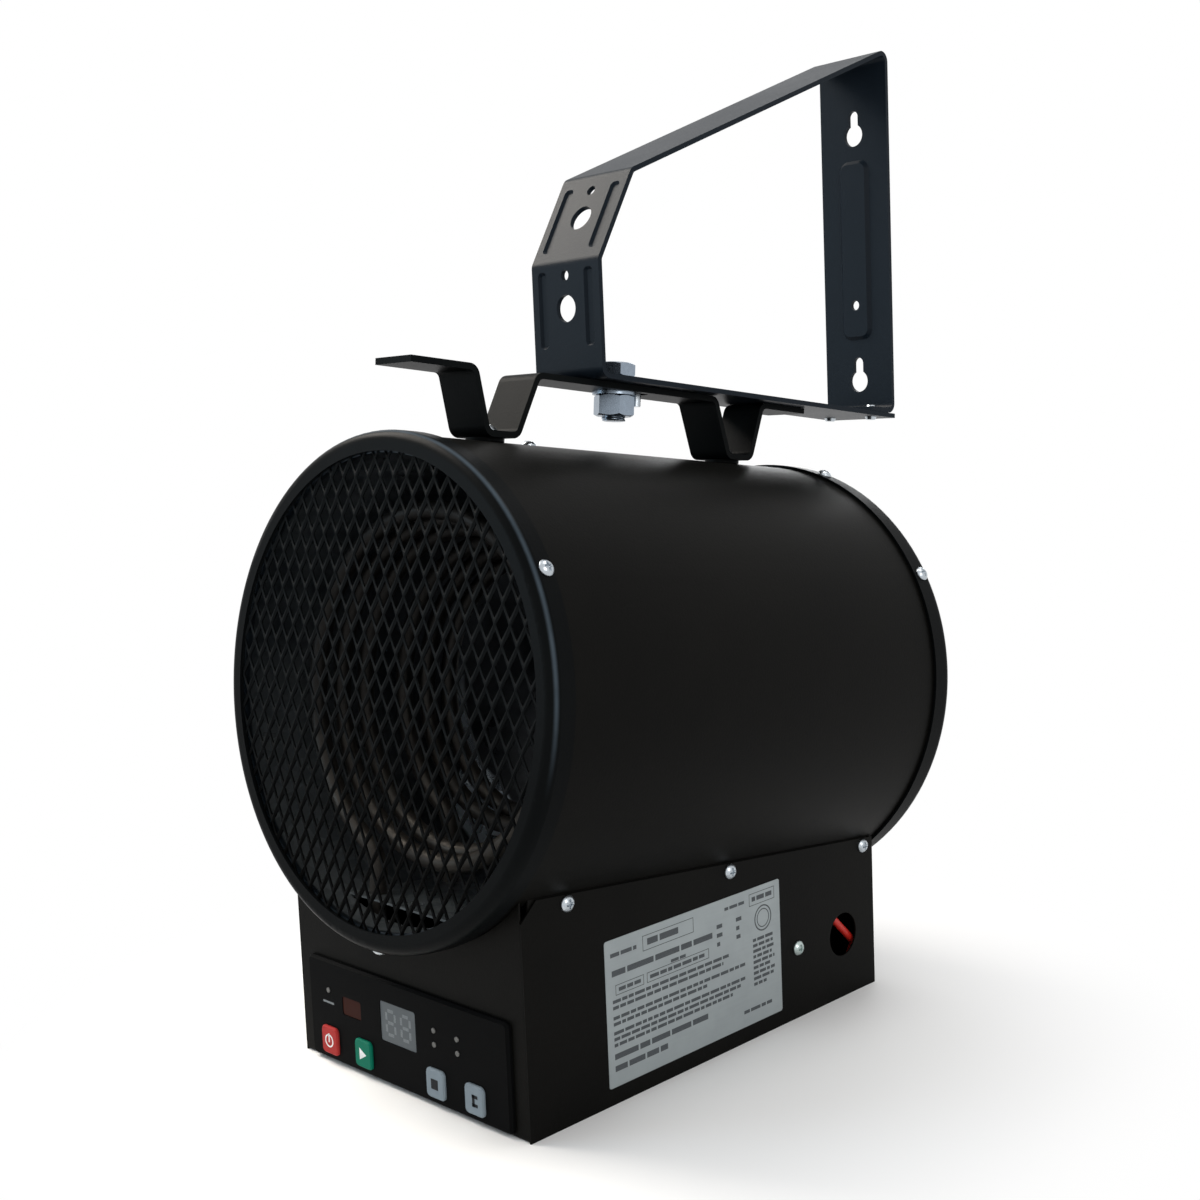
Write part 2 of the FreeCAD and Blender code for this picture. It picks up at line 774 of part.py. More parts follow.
bolt_tip = Vector(0, strap_middle, bolt_end)
bolt_length = head_low - bolt_end
pivot_bolt = hexagon(bolt_flats, bolt_head, Vector(0, strap_middle, head_low))
pivot_bolt = pivot_bolt.fuse(rod(bolt_radius, bolt_tip, up, bolt_length))
pivot_nut = hexagon(bolt_flats, bolt_nut, Vector(0, strap_middle, clamp_top - bolt_nut))
pivot_nut = pivot_nut.cut(rod(bolt_radius + tap_clearance, bolt_tip, up, bolt_length))
washer_hole = rod(bolt_radius + hole_clearance, bolt_tip, up, bolt_length)
lower_washer = rod(washer_radius, Vector(0, strap_middle, clamp_top), up, washer_sheet).cut(washer_hole)
upper_washer = rod(washer_radius, Vector(0, strap_middle, arm_top + seat), up, washer_sheet).cut(washer_hole)
save("pivot_bolt", on_barrel(pivot_bolt))
save("pivot_nut", on_barrel(pivot_nut))
save("lower_washer", on_barrel(lower_washer))
save("upper_washer", on_barrel(upper_washer))
lock_spot = Vector(0, strap_middle + lock_reach, arm_top)
lock_length = arm_top - strap_low + lock_below
lock_screw = aimed(pan_screw(lock_radius, lock_head_radius, lock_head, lock_length), lock_spot, up)
save("lock_screw", on_barrel(lock_screw))

# Bracket: one strip bent into a closed loop, its ends lapped and riveted
bolt_foot = barrel.multVec(Vector(0, strap_middle, arm_low))
front_face = bolt_foot.y - bracket_ahead
wall_face = front_face + bracket_depth
fall = slope_sin / slope_cos


def arm_level(behind, lift):
    return bolt_foot.z + lift / slope_cos - (behind - bolt_foot.y) * fall


lap_lift = strip_sheet + lap_gap
front_low = arm_level(front_face, 0)
wall_low = arm_level(wall_face, lap_lift)
bend_level = front_low + front_plate_height
slant_run = slant_length * math.cos(math.radians(slant_angle))
slant_rise = slant_length * math.sin(math.radians(slant_angle))
tab_end = wall_face - tab_length
loop_path = [
    (tab_end, arm_level(tab_end, lap_lift)),
    (wall_face, wall_low),
    (wall_face, wall_low + wall_plate_height),
    (front_face + slant_run, bend_level + slant_rise),
    (front_face, bend_level),
    (front_face, front_low),
    (wall_face, arm_level(wall_face, 0)),
]
bracket = bent_strip(loop_path, strip_sheet, strip_bend, strip_width)
arm_way = Vector(0, slope_cos, -slope_sin)
arm_up = Vector(0, slope_sin, slope_cos)
slant_way = Vector(0, slant_run, slant_rise).normalize()
slant_in = Vector(0, slant_rise, -slant_run).normalize()
pad_middle = Vector(0, wall_face, wall_low + pad_low + pad_height / 2)
front_middle = Vector(0, front_face, front_low + front_hole_rise)
slant_middle = Vector(0, front_face + slant_run / 2, bend_level + slant_rise / 2)


def press(shape, form, inward):
    raised = form.translated(inward * strip_sheet)
    return shape.fuse(raised).cut(form)


pad = pressed(pad_width, pad_height, pad_depth, pad_round, pad_middle, -back, up)
bracket = press(bracket, pad, -back)
for side in (-1, 1):
    aside = across * (side * bead_spread)
    front_spot = front_middle + aside
    slant_spot = slant_middle + aside
    front_bead = pressed(bead_width, bead_length, bead_depth, bead_round, front_spot, back, up)
    bracket = press(bracket, front_bead, back)
    slant_bead = pressed(bead_width, bead_length, bead_depth, bead_round, slant_spot, slant_in, slant_way)
    bracket = press(bracket, slant_bead, slant_in)
cuts = []
deep = strip_sheet + 2 * pad_depth
cuts.append(rod(bolt_hole, bolt_foot, arm_up, strip_sheet))
cuts.append(rod(lock_radius + tap_clearance, bolt_foot + arm_way * lock_reach, arm_up, strip_sheet))
cuts.append(rod(bolt_hole, front_middle, back, deep))
cuts.append(rod(lock_radius + tap_clearance, front_middle + up * lock_reach, back, deep))
cuts.append(rod(bolt_hole, slant_middle, slant_in, deep))
cuts.append(rod(lock_radius + tap_clearance, slant_middle + slant_way * lock_reach, slant_in, deep))
pad_hole = Vector(0, wall_face, wall_low + pad_low + pad_hole_rise)
cuts.append(rod(pad_hole_radius, pad_hole, -back, deep))
for step in (0, 1):
    round_part = Vector(0, wall_face, wall_low + keyhole_low + step * keyhole_spacing)
    cuts.append(rod(keyhole_radius, round_part, -back, deep))
    slot_tip = round_part + up * keyhole_rise
    cuts.append(rod(keyhole_slot / 2, slot_tip, -back, deep))
    slot_low_corner = round_part - across * (keyhole_slot / 2) - back * deep
    cuts.append(Part.makeBox(keyhole_slot, deep, keyhole_rise, slot_low_corner))
rivets = []
rivet_grip = 2 * strip_sheet + lap_gap
for side in (-1, 1):
    spot = Vector(side * rivet_spread, wall_face - rivet_inset, arm_level(wall_face - rivet_inset, 0))
    cuts.append(rod(rivet_radius + tap_clearance, spot, arm_up, rivet_grip))
    lower_head = pan_screw(rivet_radius, rivet_head_radius, rivet_head, rivet_grip)
    upper_head = pan_screw(rivet_radius, rivet_head_radius, rivet_head, rivet_grip / 2)
    upper_end = aimed(upper_head, spot + arm_up * rivet_grip, arm_up)
    rivets.append(aimed(lower_head, spot, -arm_up).fuse(upper_end))
bracket = bracket.cut(cuts)
save("wall_bracket", bracket)
save("bracket_rivets", group(rivets))

# Box chassis: floor with front and rear walls, cut to the barrel
chassis_half = box_width / 2 - box_sheet - seat
wall_path = [(box_front, nose_height), (box_front, 0), (-box_front, 0), (-box_front, nose_height)]
chassis = bent_strip(wall_path, box_sheet, box_bend, 2 * chassis_half)
chassis = chassis.cut(on_barrel(rod(wrapper_radius + seam_gap, Vector(), back, barrel_length)))
ring_reach = bezel_radius + seam_gap
chassis = chassis.cut(on_barrel(rod(ring_reach, Vector(), back, front_lip + seam_gap)))
rear_start = barrel_length - rear_lip - seam_gap
chassis = chassis.cut(on_barrel(rod(ring_reach, Vector(0, rear_start, 0), back, rear_lip + seam_gap)))
panel_opening = rounded_plate(
    fascia_width - 2 * fascia_land,
    fascia_height - 2 * fascia_land,
    fascia_round,
    box_sheet + 2 * seat,
    Vector(0, box_front - seat, fascia_bottom + fascia_height / 2),
)
chassis = chassis.cut(panel_opening)
save("control_chassis", chassis)

# Side panels: flat sheets up to the barrel, with a clipped front corner
panel_top = flange_top - seam_gap


def panel_point(row_behind):
    return barrel.multVec(Vector(0, along_barrel(row_behind, panel_top), panel_top)).z


panel_corners = [
    (box_front, 0),
    (-box_front, 0),
    (-box_front, panel_point(-box_front)),
    (box_front + corner_cut, panel_point(box_front + corner_cut)),
    (box_front, panel_point(box_front) - corner_cut),
]
side_screw = pan_screw(screw_radius, screw_head_radius, screw_head, screw_length)
side_screw_first = flange_front + side_screw_front_inset
side_screw_last = flange_rear - side_screw_rear_inset
side_screw_pitch = (side_screw_last - side_screw_first) / (side_screw_count - 1)
knockout_behind = box_length / 2 - knockout_inset
ground_screw_behind = knockout_behind - ground_screw_ahead
side_screws = []
for side, name in ((-1, "side_panel_left"), (1, "side_panel_right")):
    outside = side * box_width / 2
    corners = [Vector(outside, behind, level) for behind, level in panel_corners]
    panel = Part.Face(Part.makePolygon(corners + corners[:1])).extrude(across * (-side * box_sheet))
    for index in range(side_screw_count):
        along = side_screw_first + index * side_screw_pitch
        spot = barrel.multVec(Vector(outside, along, panel_top - side_screw_drop))
        side_screws.append(aimed(side_screw, spot, across * side))
        tapped = rod(screw_radius + tap_clearance, spot, across * -side, screw_length)
        panel = panel.cut(tapped)
        inner_spot = Vector(outside, along, panel_top - side_screw_drop)
        wrapper = wrapper.cut(rod(screw_radius + tap_clearance, inner_spot, across * -side, screw_length))
    if side > 0:
        knockout = Vector(outside, knockout_behind, knockout_height)
        panel = panel.cut(rod(knockout_radius, knockout, -across, box_sheet))
        ground_spot = Vector(outside, ground_screw_behind, ground_screw_height)
        ground_hole = rod(screw_radius + tap_clearance, ground_spot, -across, screw_length + seat)
        panel = panel.cut(ground_hole)
    save(name, panel)
save("side_screws", group(side_screws))
save("ground_screw", aimed(side_screw, ground_spot, across))
save("barrel_wrapper", on_barrel(wrapper))

# Face plate with posts for the board
fascia_front = box_front - fascia_depth
fascia_level = fascia_bottom + fascia_height / 2
fascia_centre = Vector(0, fascia_front, fascia_level)
fascia = rounded_plate(fascia_width, fascia_height, fascia_round, fascia_depth, fascia_centre)
front_edges = [edge for edge in fascia.Edges if edge.BoundBox.YMax < fascia_front + seat]
fascia = fascia.makeChamfer(fascia_bevel, front_edges)
board_front = box_front + board_behind
for side in (-1, 1):
    for level in (post_low, post_high):
        foot = Vector(side * (fascia_width / 2 - post_inset), box_front, level)
        fascia = fascia.fuse(rod(post_radius, foot, back, board_behind - seat))
display_centre = Vector(display_across, fascia_front, display_level)
receiver_across = display_across - button_pitch - receiver_beyond
lamp_group_across = display_across + button_pitch + lamp_group_beyond
receiver_centre = Vector(receiver_across, fascia_front, display_level)


def face_window(width, height, centre):
    pane = rounded_plate(width, height, lamp_radius, window_depth, centre + back * window_sink)
    opening_size = 2 * seat
    opening = rounded_plate(width + opening_size, height + opening_size, lamp_radius, fascia_depth, centre)
    return pane, opening


display_window, display_opening = face_window(display_width, display_height, display_centre)
receiver_window, receiver_opening = face_window(receiver_width, receiver_height, receiver_centre)
fascia = fascia.cut([display_opening, receiver_opening])
lamp_spots = [Vector(display_across - 2 * button_pitch, fascia_front, power_lamp_level)]
for side in (-1, 1):
    for step in (-1, 1):
        lamp_across = lamp_group_across + side * lamp_spacing_across / 2
        lamp_level = lamp_group_level + step * lamp_spacing_up / 2
        lamp_spots.append(Vector(lamp_across, fascia_front, lamp_level))
lamps = []
for spot in lamp_spots:
    lamps.append(rod(lamp_radius, spot - back * lamp_proud, back, fascia_depth + lamp_proud))
    fascia = fascia.cut(rod(lamp_radius + tap_clearance, spot, back, fascia_depth))
save("display_window", display_window)
save("receiver_window", receiver_window)
save("indicator_lamps", group(lamps))

# Buttons: rounded caps with side ears behind the face plate and a plunger to the switch
switch_front = board_front - switch_depth
switches = []
button_names = ["button_red", "button_green", "button_mode", "button_timer"]
button_steps = [-2, -1, 1, 2]
for name, step in zip(button_names, button_steps):
    centre = Vector(display_across + step * button_pitch, fascia_front - button_proud, button_level)
    cap_depth = button_proud + fascia_depth + seat + button_ear_depth
    cap = rounded_plate(button_width, button_height, button_round, cap_depth, centre)
    cap_edges = [edge for edge in cap.Edges if edge.BoundBox.YMax < centre.y + seat]
    cap = cap.makeChamfer(button_proud / 2, cap_edges)
    ear_half = button_width / 2 + button_ear
    ear_start = box_front + seat
    ears = block(
        centre.x - ear_half,
        centre.x + ear_half,
        ear_start,
        ear_start + button_ear_depth,
        button_level - button_height / 4,
        button_level + button_height / 4,
    )
    plunger_start = Vector(centre.x, ear_start, button_level)
    plunger_length = switch_front - button_travel - button_spare - ear_start
    plunger = rod(plunger_radius, plunger_start, back, plunger_length)
    save(name, cap.fuse([ears, plunger]).removeSplitter())
    fit = 2 * button_fit
    opening = rounded_plate(button_width + fit, button_height + fit, button_round + button_fit, fascia_depth,
                            Vector(centre.x, fascia_front, button_level))
    fascia = fascia.cut(opening)
    half = switch_width / 2
    switches.append(block(centre.x - half, centre.x + half, switch_front, board_front,
                          button_level - half, button_level + half))
save("control_fascia", fascia)

# Board with its switches and display module
board_half = fascia_width / 2 - board_margin
board_low = fascia_bottom + board_margin
board_high = fascia_bottom + fascia_height - board_margin
board = block(-board_half, board_half, board_front, board_front + board_sheet, board_low, board_high)
module_front = box_front + seat
module_half = display_width / 2 - seat
module = block(display_across - module_half, display_across + module_half, module_front, board_front,
               display_level - display_height / 2 + seat, display_level + display_height / 2 - seat)
save("control_board", board.fuse(switches + [module]).removeSplitter())

# Terminal block, relay, limit thermostat and the red lead behind the knockout
panel_inside = box_width / 2 - box_sheet - seat
terminal_block = block(panel_inside - block_depth, panel_inside, ground_screw_behind - block_length / 2,
                       ground_screw_behind + block_length / 2, ground_screw_height - block_height / 2,
                       ground_screw_height + block_height / 2)
terminal_block = terminal_block.cut(ground_hole)
for side in (-1, 1):
    groove = block(panel_inside - block_depth, panel_inside - block_depth / 2,
                   ground_screw_behind - block_length / 2, ground_screw_behind + block_length / 2,
                   ground_screw_height + side * block_height / 4 - lead_radius,
                   ground_screw_height + side * block_height / 4 + lead_radius)
    terminal_block = terminal_block.cut(groove)
save("terminal_block", terminal_block)
thermostat_top = -liner_radius - seat
thermostat_spot = Vector(0, liner_rear - thermostat_setback, thermostat_top)
limit_thermostat = rod(thermostat_radius, thermostat_spot, -up, thermostat_height)
thermostat_low = barrel.multVec(thermostat_spot - up * thermostat_height).z
relay_low = box_sheet + seat
relay_top = thermostat_low - relay_clear
relay_half = relay_width / 2
relay_rear = relay_behind + relay_length
relay = block(-relay_half, relay_half, relay_behind, relay_rear, relay_low, relay_top)
save("power_relay", relay)
save("limit_thermostat", on_barrel(limit_thermostat))
lead_inside = panel_inside - 2 * lead_radius
block_rear = ground_screw_behind + block_length / 2
floor_level = box_sheet + lead_floor_gap
entry_level = knockout_height + knockout_radius
turn_behind = knockout_behind + lead_turn_behind
lead_points = [
    Vector(lead_inside, block_rear + seat, entry_level),
    Vector(lead_inside, knockout_behind - knockout_radius / 2, entry_level),
    Vector(lead_inside, turn_behind, knockout_height - lead_drop),
    Vector(lead_inside - lead_bend, turn_behind, floor_level),
    Vector(0, relay_rear + lead_tail, floor_level),
    Vector(0, relay_rear + seat, floor_level),
]
lead_edges = []
lead_end = lead_points[0]
for index in range(1, len(lead_points) - 1):
    corner = lead_points[index]
    before = (lead_points[index - 1] - corner).normalize()
    after = (lead_points[index + 1] - corner).normalize()
    reach = lead_bend / math.tan(before.getAngle(after) / 2)
    lead_edges.append(Part.makeLine(lead_end, corner + before * reach))
    lead_end = corner + after * reach
    lead_edges.append(arc_edge(corner + before * reach, -before, lead_end))
lead_edges.append(Part.makeLine(lead_end, lead_points[-1]))
lead_start = Part.Wire(Part.makeCircle(lead_radius, lead_points[0], back))
save("supply_lead", Part.Wire(lead_edges).makePipeShell([lead_start], True, False))
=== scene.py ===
import bmesh
import bpy
import numpy as np
from mathutils import Matrix, Vector


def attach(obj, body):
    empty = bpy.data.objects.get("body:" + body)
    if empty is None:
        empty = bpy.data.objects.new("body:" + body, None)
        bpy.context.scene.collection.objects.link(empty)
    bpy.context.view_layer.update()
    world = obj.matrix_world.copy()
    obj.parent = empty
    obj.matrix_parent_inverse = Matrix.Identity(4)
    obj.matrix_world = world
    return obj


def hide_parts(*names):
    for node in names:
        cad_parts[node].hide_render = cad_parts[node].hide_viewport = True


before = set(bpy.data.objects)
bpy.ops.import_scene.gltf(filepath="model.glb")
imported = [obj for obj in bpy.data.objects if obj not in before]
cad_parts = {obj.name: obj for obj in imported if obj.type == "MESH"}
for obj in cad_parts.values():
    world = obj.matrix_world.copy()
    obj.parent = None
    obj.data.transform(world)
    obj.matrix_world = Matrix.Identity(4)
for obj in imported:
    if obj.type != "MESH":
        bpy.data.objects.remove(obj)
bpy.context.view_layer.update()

mm = 0.001
print("frame loaded,", len(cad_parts), "nodes")

# The barrel's own frame: nose at the front ring's centre, y runs back, z up, in millimetres
barrel = {"nose": (0.0, -131.55, 184.55), "pitch": 5.8, "radius": 114.3, "headGap": 0.05}


def onBarrel(points):
    # row point = nose + x across + y along the axis + z along the barrel's up
    turn = np.radians(barrel["pitch"])
    axes = np.array([(1, 0, 0), (0, np.cos(turn), -np.sin(turn)), (0, np.sin(turn), np.cos(turn))])
    return np.asarray(points, float) @ axes + np.array(barrel["nose"])


def alongBarrel(direction):
    return onBarrel(direction) - np.array(barrel["nose"])


barrelStart = mm * float(np.dot(barrel["nose"], alongBarrel((0, 1, 0))))


# Mesh building

def addPiece(name, points, faces, body, material, smoothAngle=35, merge=True):
    # points in millimetres become one object at the origin, with doubles merged and faces turned outwards
    mesh = bpy.data.meshes.new(name)
    mesh.from_pydata(np.asarray(points, float).reshape(-1, 3) * mm, [], [list(face) for face in faces])
    if merge:
        work = bmesh.new()
        work.from_mesh(mesh)
        bmesh.ops.remove_doubles(work, verts=work.verts, dist=2e-6)
        bmesh.ops.dissolve_degenerate(work, edges=work.edges, dist=1e-7)
        bmesh.ops.recalc_face_normals(work, faces=work.faces)
        work.to_mesh(mesh)
        work.free()
    mesh.polygons.foreach_set("use_smooth", np.ones(len(mesh.polygons), bool))
    mesh.set_sharp_from_angle(angle=np.radians(smoothAngle))
    piece = bpy.data.objects.new(name, mesh)
    bpy.context.scene.collection.objects.link(piece)
    mesh.materials.append(material)
    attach(piece, body)
    return piece


def gridFaces(rows, columns, wrapColumns=True, start=0):
    # quads between neighbours of a rows x columns grid, the columns closed into rings
    row = np.arange(rows - 1)[:, None]
    column = np.arange(columns if wrapColumns else columns - 1)[None, :]
    after = (column + 1) % columns
    quads = np.stack([row * columns + column, row * columns + after,
                      (row + 1) * columns + after, (row + 1) * columns + column], axis=-1)
    return (quads.reshape(-1, 4) + start).tolist()


def aimedFrame(direction):
    # three axes whose third one is the direction
    third = np.asarray(direction, float) / np.linalg.norm(direction)
    helper = np.array((0.0, 1.0, 0.0)) if abs(third[1]) < 0.9 else np.array((1.0, 0.0, 0.0))
    first = np.cross(helper, third)
    first /= np.linalg.norm(first)
    return np.array([first, np.cross(third, first), third])


def stackCopies(shape, faces, spots):
    # one shape set down at each (point, direction), as one list of points and faces
    allPoints = []
    allFaces = []
    for spot, direction in spots:
        first = len(allPoints) * len(shape)
        allPoints.append(shape @ aimedFrame(direction) + np.asarray(spot, float))
        allFaces += [[index + first for index in face] for face in faces]
    return np.concatenate(allPoints), allFaces


# Shader maths: a wire is one socket, and arithmetic on wires adds Math nodes

class Wire:
    def __init__(self, paint, socket):
        self.paint = paint
        self.socket = socket

    def maths(self, operation, first, second):
        return self.paint.node("ShaderNodeMath", {"operation": operation}, {0: first, 1: second})

    def __add__(self, other):
        return self.maths("ADD", self, other)

    def __sub__(self, other):
        return self.maths("SUBTRACT", self, other)

    def __rsub__(self, other):
        return self.maths("SUBTRACT", other, self)

    def __mul__(self, other):
        return self.maths("MULTIPLY", self, other)

    __radd__ = __add__
    __rmul__ = __mul__


class Paint:
    def __init__(self, name):
        self.material = bpy.data.materials.new(name)
        self.material.use_nodes = True
        self.tree = self.material.node_tree
        self.tree.nodes.clear()

    def node(self, kind, settings=None, sockets=None, out=0):
        made = self.tree.nodes.new(kind)
        for key, value in (settings or {}).items():
            setattr(made, key, value)
        for key, value in (sockets or {}).items():
            if isinstance(value, Wire):
                self.tree.links.new(value.socket, made.inputs[key])
            else:
                made.inputs[key].default_value = value
        return Wire(self, made.outputs[out])

    def place(self, stretch=(1, 1, 1)):
        spot = self.node("ShaderNodeTexCoord", out="Object")
        return self.node("ShaderNodeMapping", None, {"Vector": spot, "Scale": stretch})

    def along(self, direction):
        spot = self.node("ShaderNodeTexCoord", out="Object")
        return self.node("ShaderNodeVectorMath", {"operation": "DOT_PRODUCT"},
                         {0: spot, 1: direction}, "Value")

    def noise(self, scale, detail=3, stretch=(1, 1, 1)):
        return self.node("ShaderNodeTexNoise", None, {"Vector": self.place(stretch), "Scale": scale,
                                                      "Detail": detail, "Roughness": 0.55})

    def ramp(self, value, low, high):
        return self.node("ShaderNodeMapRange", {"interpolation_type": "SMOOTHSTEP"},
                         {"Value": value, "From Min": low, "From Max": high})

    def mix(self, factor, first, second):
        return self.node("ShaderNodeMix", {"data_type": "RGBA"},
                         {0: factor, 6: (*first, 1) if isinstance(first, tuple) else first,
                          7: (*second, 1) if isinstance(second, tuple) else second}, out=2)

    def bump(self, height, strength, distance):
        return self.node("ShaderNodeBump", None,
                         {"Height": height, "Strength": strength, "Distance": distance})

    def surface(self, color, roughness, normal=None, metallic=0.0, **constants):
        sockets = {"Base Color": color if isinstance(color, Wire) else (*color, 1), "Roughness": roughness,
                   "Metallic": metallic}
        if normal:
            sockets["Normal"] = normal
        sockets.update({key.replace("_", " "): value for key, value in constants.items()})
        shader = self.node("ShaderNodeBsdfPrincipled", None, sockets)
        self.close(shader)
        return self.material

    def close(self, shader):
        end = self.tree.nodes.new("ShaderNodeOutputMaterial")
        self.tree.links.new(shader.socket, end.inputs["Surface"])


def powderCoat(name, color, tint, rough, grain, shine, lower=None, rim=None):
    # satin powder coat: fine orange peel, slow drift of tone and gloss, faint rubbed specks, painted shade
    # low down, and a painted highlight line round the front ring's rounded edge
    paint = Paint(name)
    peel = paint.noise(grain, 2)
    drift = paint.noise(11, 4)
    rubbed = paint.ramp(paint.noise(260, 4, (1, 0.25, 1)), 0.66, 0.78)
    tone = paint.mix(paint.ramp(drift, 0.35, 0.68), color, tint)
    tone = paint.mix(rubbed * 0.35, tone, tuple(2.2 * part for part in color))
    if lower:
        # painted shade: the tone goes over to the lower colour towards the bottom
        tone = paint.mix(paint.ramp(paint.along((0, 0, 1)), 0.1, 0.22), lower, tone)
    if rim:
        depth = paint.along(tuple(alongBarrel((0, 1, 0)))) - barrelStart
        spot = paint.node("ShaderNodeTexCoord", out="Object")
        nose = tuple(mm * part for part in barrel["nose"])
        away = paint.node("ShaderNodeVectorMath", {"operation": "DISTANCE"}, {0: spot, 1: nose}, "Value")
        edge = paint.ramp(depth, 0.0014, 0.0026) * (1 - paint.ramp(depth, 0.0026, 0.0042))
        edge = edge * paint.ramp(away, 0.111, 0.112)
        # painted highlight: a light line round the ring's rounded edge, on its upper part only, broken by
        # noise
        rimHighlight = edge * paint.ramp(paint.along((0, 0, 1)), 0.15, 0.2) * (0.4 + paint.noise(70, 3) * 0.6)
        tone = paint.mix(rimHighlight, tone, rim)
    gloss = rough + (drift - 0.5) * 0.16 + (peel - 0.5) * 0.1
    return paint.surface(tone, gloss, paint.bump(peel, 0.22, 0.00025), Specular_IOR_Level=shine)


def zincPlate(name, color, tint):
    # bright plated steel with turning marks and a faint blue-yellow cast
    paint = Paint(name)
    cast = paint.noise(420, 3)
    tone = paint.mix(cast, color, tint)
    gloss = 0.2 + paint.noise(1600, 2) * 0.16
    return paint.surface(tone, gloss, paint.bump(cast, 0.08, 0.0001), 1.0)


def spangled(name, color, tint):
    # hot-dip zinc: cells of different tone and gloss, a few millimetres wide, with painted shade inwards,
    # upwards and at the front edge, a little soot, and a painted glint
    paint = Paint(name)
    cells = paint.node("ShaderNodeTexVoronoi", {"feature": "F1"},
                       {"Vector": paint.place(), "Scale": 130}, "Color")
    cell = paint.node("ShaderNodeSeparateColor", None, {"Color": cells}, 0)
    soot = paint.ramp(paint.noise(24, 4), 0.42, 0.7)
    depth = paint.along(tuple(alongBarrel((0, 1, 0)))) - barrelStart
    height = paint.along((0, 0, 1))
    # painted shade: darker deeper in, higher up and at the very front edge, with noise patches of soot added;
    # the dark blue colour below is the painted shade tone
    shadeAndSoot = paint.ramp(depth, 0.04, 0.125) * 0.9 + paint.ramp(height, 0.11, 0.21) * 0.65
    shadeAndSoot = shadeAndSoot + soot * 0.3 + (1 - paint.ramp(depth, 0.004, 0.0055))
    tone = paint.mix(shadeAndSoot, paint.mix(cell, color, tint), (0.007, 0.0115, 0.0165))
    # a painted glint: a band painted bright and more metallic, broader where it lies low
    broad = (1 - paint.ramp(height, 0.1, 0.125)) * 0.022
    paintedGlint = paint.ramp(depth + broad, 0.131, 0.134) * (1 - paint.ramp(depth - broad * 0.5, 0.139, 0.142))
    paintedGlint = paintedGlint * (1 - paint.ramp(height, 0.125, 0.18)) * paint.ramp(height, 0.074, 0.09)
    tone = paint.mix(paintedGlint, tone, (0.8, 0.9, 0.98))
    return paint.surface(tone, 0.26 + cell * 0.2 + soot * 0.15 - paintedGlint * 0.12, None, 0.5 + paintedGlint * 0.4)


def heatTinted(name, color, tint):
    # sheath tube browned by heat, with bands of darker oxide, painted shade making it blackest at the top,
    # and a fine grain
    paint = Paint(name)
    bands = paint.ramp(paint.noise(38, 4), 0.36, 0.66)
    grain = paint.noise(1500, 2)
    # painted shade: the tube darkens towards the top
    topShade = paint.ramp(paint.along((0, 0, 1)), 0.1, 0.18)
    tone = paint.mix(topShade, paint.mix(bands, color, tint), tuple(0.3 * part for part in tint))
    gloss = 0.42 + bands * 0.16 + (grain - 0.5) * 0.1
    return paint.surface(tone, gloss, paint.bump(grain, 0.15, 0.0001), 0.65)


def millMetal(name, color, tint, rough):
    # rolled sheet with a drawn grain along one axis
    paint = Paint(name)
    drawn = paint.noise(320, 3, (1, 8, 1))
    return paint.surface(paint.mix(drawn, color, tint), rough + (drawn - 0.5) * 0.2,
                         paint.bump(drawn, 0.06, 0.0001), 0.95)


def moulded(name, color, tint, rough, grain=1400, shine=0.4):
    # moulded plastic: fine spark grain, slight drift of tone
    paint = Paint(name)
    spark = paint.noise(grain, 2)
    tone = paint.mix(paint.noise(60, 3), color, tint)
    return paint.surface(tone, rough + (spark - 0.5) * 0.12, paint.bump(spark, 0.12, 0.00012),
                         Specular_IOR_Level=shine)


def clearPane(name, color, tint, rough, shine):
    # glossy filter pane with a soft sheen of wiped dust
    paint = Paint(name)
    dust = paint.ramp(paint.noise(90, 4), 0.5, 0.8)
    return paint.surface(paint.mix(dust * 0.4, color, tint), rough + dust * 0.1, Specular_IOR_Level=shine)


def printInk(name, color):
    # printed ink, broken a little by the film under it
    paint = Paint(name)
    wear = paint.ramp(paint.noise(2200, 2), 0.25, 0.75)
    tone = paint.mix(wear, tuple(1.35 * part for part in color), color)
    return paint.surface(tone, 0.5 + wear * 0.1, Specular_IOR_Level=0.1)


def foilLabel(name, color, tint):
    # silver film: brushed along its length, a little scuffed
    paint = Paint(name)
    brushed = paint.noise(700, 3, (1, 0.08, 1))
    scuff = paint.ramp(paint.noise(42, 4), 0.4, 0.75)
    tone = paint.mix(brushed * 0.6 + scuff * 0.4, color, tint)
    return paint.surface(tone, 0.38 + scuff * 0.14, paint.bump(brushed, 0.04, 0.0001), 0.25)


coat = powderCoat("blackPowderCoat", (0.0026, 0.0026, 0.0023), (0.0038, 0.0037, 0.0032), 0.4, 850, 0.036)
# the last colour is the painted highlight line round the front ring's rounded edge
ringCoat = powderCoat("ringPowderCoat", (0.0024, 0.0029, 0.0032), (0.0033, 0.0039, 0.0042), 0.34, 850, 0.025,
                      None, (0.056, 0.075, 0.094))
# painted shade and sheen: a darker, bluer copy of the black coat stands in for the strap's shade and bluish
# sheen
strapShadeCoat = powderCoat("strapShadePowderCoat", (0.0020, 0.0027, 0.0030), (0.0030, 0.0039, 0.0042), 0.4, 850, 0.026)
# painted sheen: a bluer, lighter copy of the black coat stands in for the bluish sheen on the bracket
bracketSheenCoat = powderCoat("bracketSheenPowderCoat", (0.0052, 0.0088, 0.0136), (0.007, 0.0108, 0.0158), 0.38, 850,
                         0.06)
